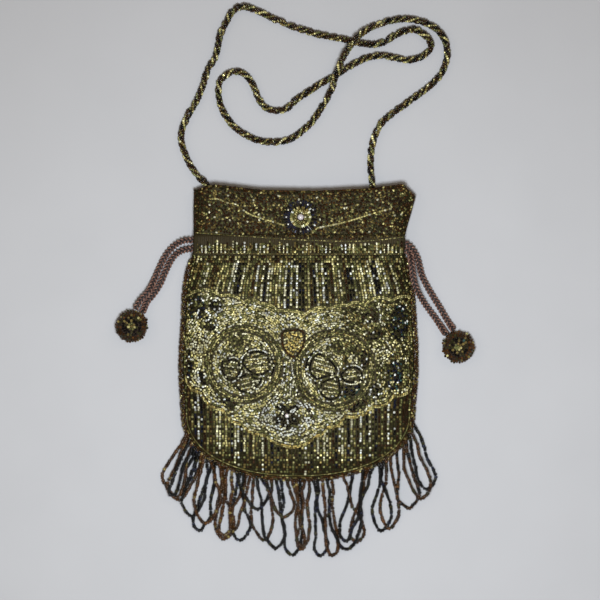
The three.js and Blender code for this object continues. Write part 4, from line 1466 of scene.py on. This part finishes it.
PANEL_CORNERS = mm([(-77, -68), (77, 37)])
PANEL_TRIES = 16000
CORD_ROWS = mm((0, -1.1))
RING_ROWS = tuple(zip(mm((0, 1.4, 2.8)), ("ring_line", "gold_column", "ring_line")))
UPPER_BAND = 1.7 * MM
LOWER_BANDS = mm((1.7, 3.4))
FILL_INSET, PALE_OUT, BAR_PITCH, RING_STEP, FLOWER_RING_STEP = mm((1.1, 1.5, 1.5, 1.55, 1.5))
DROP_TRIES = 800
FLOWER_PETAL = (3.6, 2.3)
BAR_MIXES = ("cream_fill", "olive_band", "cream_fill", "gold_column")
DRESSINGS = {
    "leaf": ("dull_gold_cord", "olive_band", "olive_band"),
    "bloom": ("pale_outline", "dark_flower", "black_outline"),
    "cream": ("cream_fill", "cream_fill", "cream_fill"),
    "shade": ("brown_shade", "dark_flower", "brown_shade"),
    "dark": ("dark_fill", "dark_fill", "dark_fill"),
}
# Right of the last of these, the ground's rows round the right ring are sewn from the darker mix
ECHO_FROM, ECHO_TO, DARKER_GROUND_FROM = mm((2, 66, 29))


class BAG_OT_panel(bpy.types.Operator):
    """Sews the ornamented panel: scalloped gold lines, ringed flowers, the drop and their ground"""

    bl_idname = "bag.panel"
    bl_label = "Ornamented panel"

    def execute(self, context):
        beads = FrontBeads(SEEDS["panel"], context)
        for line, mix in ((UPPER_LINE, "gold_cord"), (LOWER_LINE, "ochre_cord")):
            for up in CORD_ROWS:
                beads.row(line + (0, up), mix, 0.85, keep=True, lean=CORDED_LEAN)
        self.drop(beads)
        self.lower_flower(beads)
        for wing, lean in zip(WINGS, BAR_LEANS):
            self.wing(beads, closed(wing), math.radians(lean))
        for line, mix in zip(OUTER_ARCS, ("black_outline", "checked_outline")):
            beads.row(catmull_rom(line), mix, 0.9, inside=in_panel, lean=CORDED_LEAN)
        for petal in PETALS:
            self.petal(beads, petal)
        for line in SILVER_LINES:
            beads.row(catmull_rom(line), "pale_outline", 0.85, inside=in_panel, gaps=0.08)
        for centre, radius in zip(RING_CENTRES, RING_RADII):
            for grow, mix in RING_ROWS:
                beads.row(circle(centre, radius + grow, 200), mix, 0.85, inside=in_panel)
        self.flower_ground(beads)
        beads.row(UPPER_LINE - (0, UPPER_BAND), "olive_band", inside=in_panel)
        for up in LOWER_BANDS:
            beads.row(LOWER_LINE + (0, up), "ground_left", inside=in_panel)
        self.echo_rows(beads)
        beads.scatter(*PANEL_CORNERS, PANEL_TRIES, in_panel, "ground_right", beads.sizes.bead_room)
        beads.sewn("panel_beads", "beaded_front")
        return {"FINISHED"}

    def drop(self, beads):
        """The drop of amber beads between the flowers, inside a dark outline."""
        outline = closed(DROP_OUTLINE)
        beads.row(outline, "drop_outline", inside=in_panel)
        inner = grown(outline, -FILL_INSET)
        beads.scatter(
            inner.min(axis=0), inner.max(axis=0), DROP_TRIES, lambda x, y: inside_line(inner, x, y),
            "amber_fill", beads.sizes.bead_room)

    def lower_flower(self, beads):
        """Dark petals about a pearl."""
        for turn in FLOWER_TURNS:
            angle = math.radians(turn)
            x, y = (FLOWER_CENTRE + FLOWER_REACH * np.array((math.cos(angle), math.sin(angle)))) / MM
            leaf = Petal(x, y, *FLOWER_PETAL, turn, "dark")
            beads.row(ellipse(leaf), "black_outline", 0.9, gaps=0.08)
            beads.row(ellipse(leaf, -FLOWER_RING_STEP), "dark_flower", 0.9)

    def flower_ground(self, beads):
        """Pale rows round the lower flower and, fanned out, up between the two rings."""
        innermost = 0.2
        for share in np.arange(innermost, 1.0, beads.sizes.row_pitch / FLOWER_GROUND[0]):
            around = circle((0, 0), share, 160) * FLOWER_GROUND + FLOWER_CENTRE
            beads.row(around, "silver_ground", inside=in_panel)
        foot_y, foot_aside = -33, 1.5
        head_y, head_aside, drawn_together = -10, 3, 0.4
        fan = np.arange(-8.0, 1.5, 1.8)
        for across in fan:
            foot = (across - foot_aside, foot_y)
            head = (across * drawn_together - head_aside, head_y)
            beads.row(mm([foot, head]), "silver_ground", inside=in_panel)

    def wing(self, beads, line, lean):
        """A petal of the ringed flowers: thinly outlined, pale outside and with leaning bars inside."""
        beads.row(line, "black_outline", 0.95, inside=in_panel, gaps=0.05, lean=CORDED_LEAN)
        pale = grown(line, PALE_OUT)
        beads.row(pale, "pale_outline", 0.85, inside=in_panel, gaps=0.2, lean=CORDED_LEAN)
        inner = grown(line, -FILL_INSET)
        middle = line.mean(axis=0)
        reach = np.linalg.norm(line - middle, axis=1).max()
        along = reach * np.array((math.cos(lean), math.sin(lean)))
        across = np.array((-math.sin(lean), math.cos(lean)))
        for bar, up in enumerate(np.arange(-reach, reach, BAR_PITCH)):
            start = middle + up * across
            beads.row(
                [start - along, start + along], BAR_MIXES[bar % len(BAR_MIXES)], 0.9,
                inside=lambda x, y: inside_line(inner, x, y), gaps=0.12)

    def petal(self, beads, petal):
        """One leaf or cluster in its own dressing, ring inside ring."""
        mixes = DRESSINGS[petal.dressing]
        least = min(petal.across, petal.up) * MM
        for ring, shrink in enumerate(np.arange(0, least, RING_STEP)):
            mix = mixes[min(ring, len(mixes) - 1)]
            beads.row(ellipse(petal, -shrink), mix, inside=in_panel, gaps=0.22)

    def echo_rows(self, beads):
        """Rows of the ground that follow the two ringed flowers, inside and outside their rings."""
        left, right = RING_CENTRES
        split = RING_CENTRES[:, 0].mean()
        grounds = (
            (left, "ground_left", -np.inf, split),
            (right, "ground_left", split, DARKER_GROUND_FROM),
            (right, "ground_right", DARKER_GROUND_FROM, np.inf),
        )
        for centre, mix, start, stop in grounds:
            for radius in np.arange(ECHO_FROM, ECHO_TO, beads.sizes.row_pitch):
                beads.row(
                    circle(centre, radius, 240), mix,
                    inside=lambda x, y: in_panel(x, y) & (x > start) & (x <= stop))


# Rosette, edging, fringe and strap

PAD_PROFILE = ((0.02, 0.9), (0.4, 0.9), (0.7, 0.72), (0.97, 0.3), (0.97, 0.0), (0.02, 0.0))
PAD_COLUMNS = 48
SPOKES, PALE_EVERY = 36, 3
SPOKE_FALL = 0.16
BUGLE_WIDTH, BUGLE_LENGTH, SEED_WIDTH, SEED_LENGTH = mm((1.1, 2.2, 1.5, 1.3))
PEARL_COLUMNS, PEARL_LEVELS = 24, 16
PEARL_DIMPLE = 0.94


class BAG_OT_rosette(bpy.types.Operator):
    """Makes the raised rosette of radiating bugles on the frill, and the two pearls"""

    bl_idname = "bag.rosette"
    bl_label = "Rosette and pearls"

    def execute(self, context):
        colours = context.scene.bag_colours
        seat = float(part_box("rosette")[0].z)
        centre = np.append(ROSETTE_CENTRE, seat)
        self.pad(centre)
        self.bugles(centre, colours)
        self.seeds(centre, colours)
        for name in ("rosette_pearl", "flower_pearl"):
            self.pearl(name)
        return {"FINISHED"}

    def pad(self, centre):
        """The felt pad that the bugles are sewn to, low at its edge."""
        turns = np.linspace(0, 2 * np.pi, PAD_COLUMNS, endpoint=False)
        vertices, faces = [], []
        for ring, (share, up) in enumerate(PAD_PROFILE):
            out = share * ROSETTE_RADIUS
            here, there = ring * PAD_COLUMNS, (ring + 1) % len(PAD_PROFILE) * PAD_COLUMNS
            for k, turn in enumerate(turns):
                after = (k + 1) % PAD_COLUMNS
                vertices.append(
                    centre + (out * math.cos(turn), out * math.sin(turn), up * ROSETTE_HEIGHT))
                faces.append((here + k, there + k, there + after, here + after))
        felt = smooth_mesh("rosette_pad", vertices, faces)
        new_piece("rosette_pad", felt, material_once(felt_core), ["rosette"])

    def bugles(self, centre, colours):
        """Three rings of radiating bugles: reach and height in millimetres, mix and share of length."""
        bugles = Beads(SEEDS["bugles"], colours)
        for k in range(SPOKES):
            angle = 2 * np.pi * k / SPOKES
            ahead = np.array((math.cos(angle), math.sin(angle), 0))
            slope = ahead + (0, 0, -SPOKE_FALL)
            inner = "rosette_eye" if k % PALE_EVERY else "pale_outline"
            for reach, up, mix, length in (
                (6.3, 1.55, inner, 0.7), (8.1, 1.4, "rosette_dark", 0.9),
                (10.3, 1.0, "rosette_dark", 1.05),
            ):
                place = centre + ahead * reach * MM + (0, 0, up * MM)
                bugles.add([place], [slope], mix, 1.0, length)
        bugles.piece(
            "rosette_bugles", "bugle", BUGLE_WIDTH, BUGLE_LENGTH, material_once(lustred_glass),
            "dark_bugles")

    def seeds(self, centre, colours):
        """Rings of seed beads round the pearl, and pale ones among the bugles, sized in millimetres."""
        seeds = Beads(SEEDS["rosette_seeds"], colours)
        for radius, up, pitch, mix in (
            (3.1, 1.7, 1.35, "rosette_eye"), (4.1, 1.7, 1.35, "rosette_eye"),
            (5.1, 1.6, 1.35, "rosette_eye"), (9.6, 1.5, 4.9, "pale_outline"),
        ):
            line = spaced(circle((0, 0), radius * MM), pitch * MM)[:-1]
            places = centre + np.column_stack([line, np.full(len(line), up * MM)])
            seeds.add(places, np.column_stack([directions(line), np.zeros(len(line))]), mix)
        seeds.piece(
            "rosette_seeds", "seed", SEED_WIDTH, SEED_LENGTH, material_once(galvanised_beads),
            "dark_bugles")

    def pearl(self, node):
        """A smooth pearl with a drilled dimple at its top, in place of the node."""
        low, high = (np.array(corner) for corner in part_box(node))
        centre, radius = (low + high) / 2, float((high - low)[2]) / 2
        ball = globe(centre, radius, radius, PEARL_COLUMNS, PEARL_LEVELS, PEARL_DIMPLE)
        mesh = smooth_mesh(node, *ball)
        new_piece(f"{node}_lustre", mesh, material_once(pearl_lustre), [node])


def twisted(beads, path, lay, radius, mixes, length):
    """Strands of beads laid round a path as a rope is, one mix of colours to each strand."""
    step, knot_share, unevenness = 0.4 * MM, 0.6, 0.1
    fine = spaced(path, step)
    side, up = side_and_up(fine)
    at = line_lengths(fine)
    knots = np.arange(0, at[-1] + lay, knot_share * lay)
    for strand, mix in enumerate(mixes):
        wander = np.interp(at, knots, beads.random.normal(0, unevenness, len(knots)))
        turn = 2 * np.pi * (at / lay + strand / len(mixes) + wander)
        out = radius * (1 + wander)[:, None]
        helix = fine + out * (np.cos(turn)[:, None] * side + np.sin(turn)[:, None] * up)
        line = spaced(helix, length)
        beads.add(line, directions(line), mix)


def unsteady(line, sway, length, random):
    """The line with a gentle level sway, which fades out at its two ends."""
    step = 0.6 * MM
    fine = spaced(line, step)
    side, _ = side_and_up(fine)
    at = line_lengths(fine)
    knots = np.arange(0, at[-1] + length, length)
    drift = np.interp(at, knots, random.normal(0, sway, len(knots)))
    fade = np.clip(np.minimum(at, at[-1] - at) / length, 0, 1)
    return fine + (drift * fade)[:, None] * side


def bottom_curve():
    """The edging's line round the bottom of the pouch."""
    cosine = np.cos(np.pi * np.arange(BOTTOM_POINTS + 1) / BOTTOM_POINTS)
    across = np.sign(cosine) * np.abs(cosine) ** (2 / BOTTOM_POWER)
    x = BOTTOM_MIDDLE - (BOTTOM_HALF_WIDTH + EDGING_OUT) * across
    seam = np.full(len(x), section("seam", BEND_Y))
    return catmull_rom(np.column_stack([x, bottom_at(x, EDGING_OUT), seam]))


EDGING_MIXES = ("copper_trim", "copper_trim", "brown_strand")
EDGING_STRAND = 0.52 * EDGING_RADIUS
EDGING_BEAD = 0.98 * EDGING_RADIUS
EDGING_BEAD_LENGTH = 0.9 * EDGING_BEAD
EDGING_STOPS = mm((-13, 17, 39))
# Where an edging's top end is tucked in: up, and down towards the table
EDGING_TUCK = mm((3.6, -0.4))
# The fringe's beads are a little thicker than its strands, so they lie this much higher
BEAD_LIFT = 0.25 * MM
FRINGE_SWAY, FRINGE_SWAY_LENGTH, FRINGE_STRAY = mm((0.7, 8, 0.12))
FRINGE_CLOSENESS = 0.8
FRINGE_SPREAD = 0.13


class BAG_OT_fringe(bpy.types.Operator):
    """Strings the edging beads round the pouch and the looped fringe below it"""

    bl_idname = "bag.fringe"
    bl_label = "Edging and fringe"

    def execute(self, context):
        sizes, colours = context.scene.bag_sizes, context.scene.bag_colours
        for name, out in (("left", -EDGING_OUT), ("right", EDGING_OUT)):
            heights = np.array([BEND_Y + EDGING_JOINT_GAP, *EDGING_STOPS, EDGING_TOP])
            line = np.column_stack([section(name, heights) + out, heights, section("seam", heights)])
            line = np.vstack([line, line[-1] + (-out, *EDGING_TUCK)])
            beads = Beads(SEEDS["side_edging"], colours)
            self.edging(name, catmull_rom(line), beads, sizes, [f"edging_{name}"])
        bottom = bottom_curve()
        self.edging("bottom", bottom, Beads(SEEDS["bottom_edging"], colours), sizes, [])
        whole = line_lengths(bottom)[-1]
        numbers = np.arange(STITCH_PLACES[-1, 0] + 1)
        stitches = points_at(bottom, whole * np.interp(numbers, *STITCH_PLACES.T))
        fringe = Beads(SEEDS["fringe"], colours)
        for order, loop in enumerate(LOOPS):
            strand = self.strand(loop, order, stitches)
            line = unsteady(strand, FRINGE_SWAY, FRINGE_SWAY_LENGTH, fringe.random)
            line = spaced(line + (0, 0, BEAD_LIFT), FRINGE_CLOSENESS * sizes.strand_bead_length)
            ahead = directions(line)
            line[:, :2] += fringe.random.normal(0, FRINGE_STRAY, (len(line), 2))
            fringe.add(line, ahead, loop.beads)
        fringe.piece(
            "fringe_beads", "seed", sizes.strand_bead_width, sizes.strand_bead_length,
            material_once(lustred_glass), "copper_beads", ["fringe"], spread=FRINGE_SPREAD)
        return {"FINISHED"}

    def edging(self, name, path, beads, sizes, replaces):
        """Three twisted strings of beads along a seam or round the bottom."""
        twisted(beads, path, sizes.edging_lay, EDGING_STRAND, EDGING_MIXES, EDGING_BEAD)
        beads.piece(
            f"edging_beads_{name}", "seed", EDGING_BEAD, EDGING_BEAD_LENGTH,
            material_once(lustred_glass), "copper_beads", replaces)

    def strand(self, loop, order, stitches):
        """The line of one loop, from its first stitch round its tip to its last."""
        crossed = loop.start > loop.stop
        low = FRINGE_LOW_Z + (0 if crossed else FRINGE_LAYER * (order % FRINGE_LAYERS))
        start, stop = stitches[loop.start], stitches[loop.stop]
        tip_x, tip_y, bulb = mm((loop.tip_x, loop.tip_y, loop.bulb))
        shoulder = tip_y + SHOULDER_RISE * bulb
        left = np.array((tip_x - bulb / 2, shoulder, low))
        right = np.array((tip_x + bulb / 2, shoulder, low))
        tip = np.array((tip_x, tip_y + FRINGE_RADIUS, (FRINGE_LOW_Z + low) / 2))
        down = start + (left - start) * LAYER_SHARE
        up = stop + (right - stop) * LAYER_SHARE
        down[2] = low
        up[2] = low + FRINGE_LAYER * crossed
        return catmull_rom([start, down, left, tip, right, up, stop])


ROPE_MIXES = ("rope_dark", "rope_dark", "rope_bronze", "rope_dark", "rope_gold")
ROPE_BEAD, ROPE_RADIUS = mm((1.9, 1.5))
ROPE_BEAD_PITCH = 0.82 * ROPE_BEAD
ROPE_BEAD_LENGTH = 0.85 * ROPE_BEAD


class BAG_OT_strap(bpy.types.Operator):
    """Twists the strap's rope of five bead strings along its two halves"""

    bl_idname = "bag.strap"
    bl_label = "Strap"

    def execute(self, context):
        sizes, colours = context.scene.bag_sizes, context.scene.bag_colours
        for side, route in STRAP_ROUTES.items():
            beads = Beads(SEEDS["strap"], colours)
            path = catmull_rom(route)
            twisted(beads, path, sizes.rope_lay, ROPE_RADIUS, ROPE_MIXES, ROPE_BEAD_PITCH)
            beads.piece(
                f"strap_rope_{side}", "seed", ROPE_BEAD, ROPE_BEAD_LENGTH, material_once(lustred_glass),
                "bead_rope", [f"strap_{side}"])
        return {"FINISHED"}


STEPS = (
    BAG_OT_stage, BAG_OT_drawstrings, BAG_OT_cloth, BAG_OT_casing, BAG_OT_frill, BAG_OT_stripes,
    BAG_OT_panel, BAG_OT_rosette, BAG_OT_fringe, BAG_OT_strap,
)


class BAG_PT_sidebar(bpy.types.Panel):
    """Lists the bag's steps, sizes and colours"""

    bl_idname = "BAG_PT_sidebar"
    bl_label = "Evening bag"
    bl_space_type = "VIEW_3D"
    bl_region_type = "UI"
    bl_category = "Bag"

    def draw(self, context):
        for step in STEPS:
            self.layout.operator(step.bl_idname)
        for group in (context.scene.bag_sizes, context.scene.bag_colours):
            for name in group.__annotations__:
                self.layout.prop(group, name)


CLASSES = (BagSizes, BagColours, *STEPS, BAG_PT_sidebar)


def register():
    for item in CLASSES:
        bpy.utils.register_class(item)
    bpy.types.Scene.bag_sizes = PointerProperty(type=BagSizes)
    bpy.types.Scene.bag_colours = PointerProperty(type=BagColours)


def unregister():
    del bpy.types.Scene.bag_colours
    del bpy.types.Scene.bag_sizes
    for item in reversed(CLASSES):
        bpy.utils.unregister_class(item)


def main():
    register()
    bpy.ops.bag.stage()
    bpy.ops.bag.drawstrings()
    bpy.ops.bag.cloth()
    bpy.ops.bag.casing()
    bpy.ops.bag.frill()
    bpy.ops.bag.stripes()
    bpy.ops.bag.panel()
    bpy.ops.bag.rosette()
    bpy.ops.bag.fringe()
    bpy.ops.bag.strap()


if __name__ == "__main__":
    main()
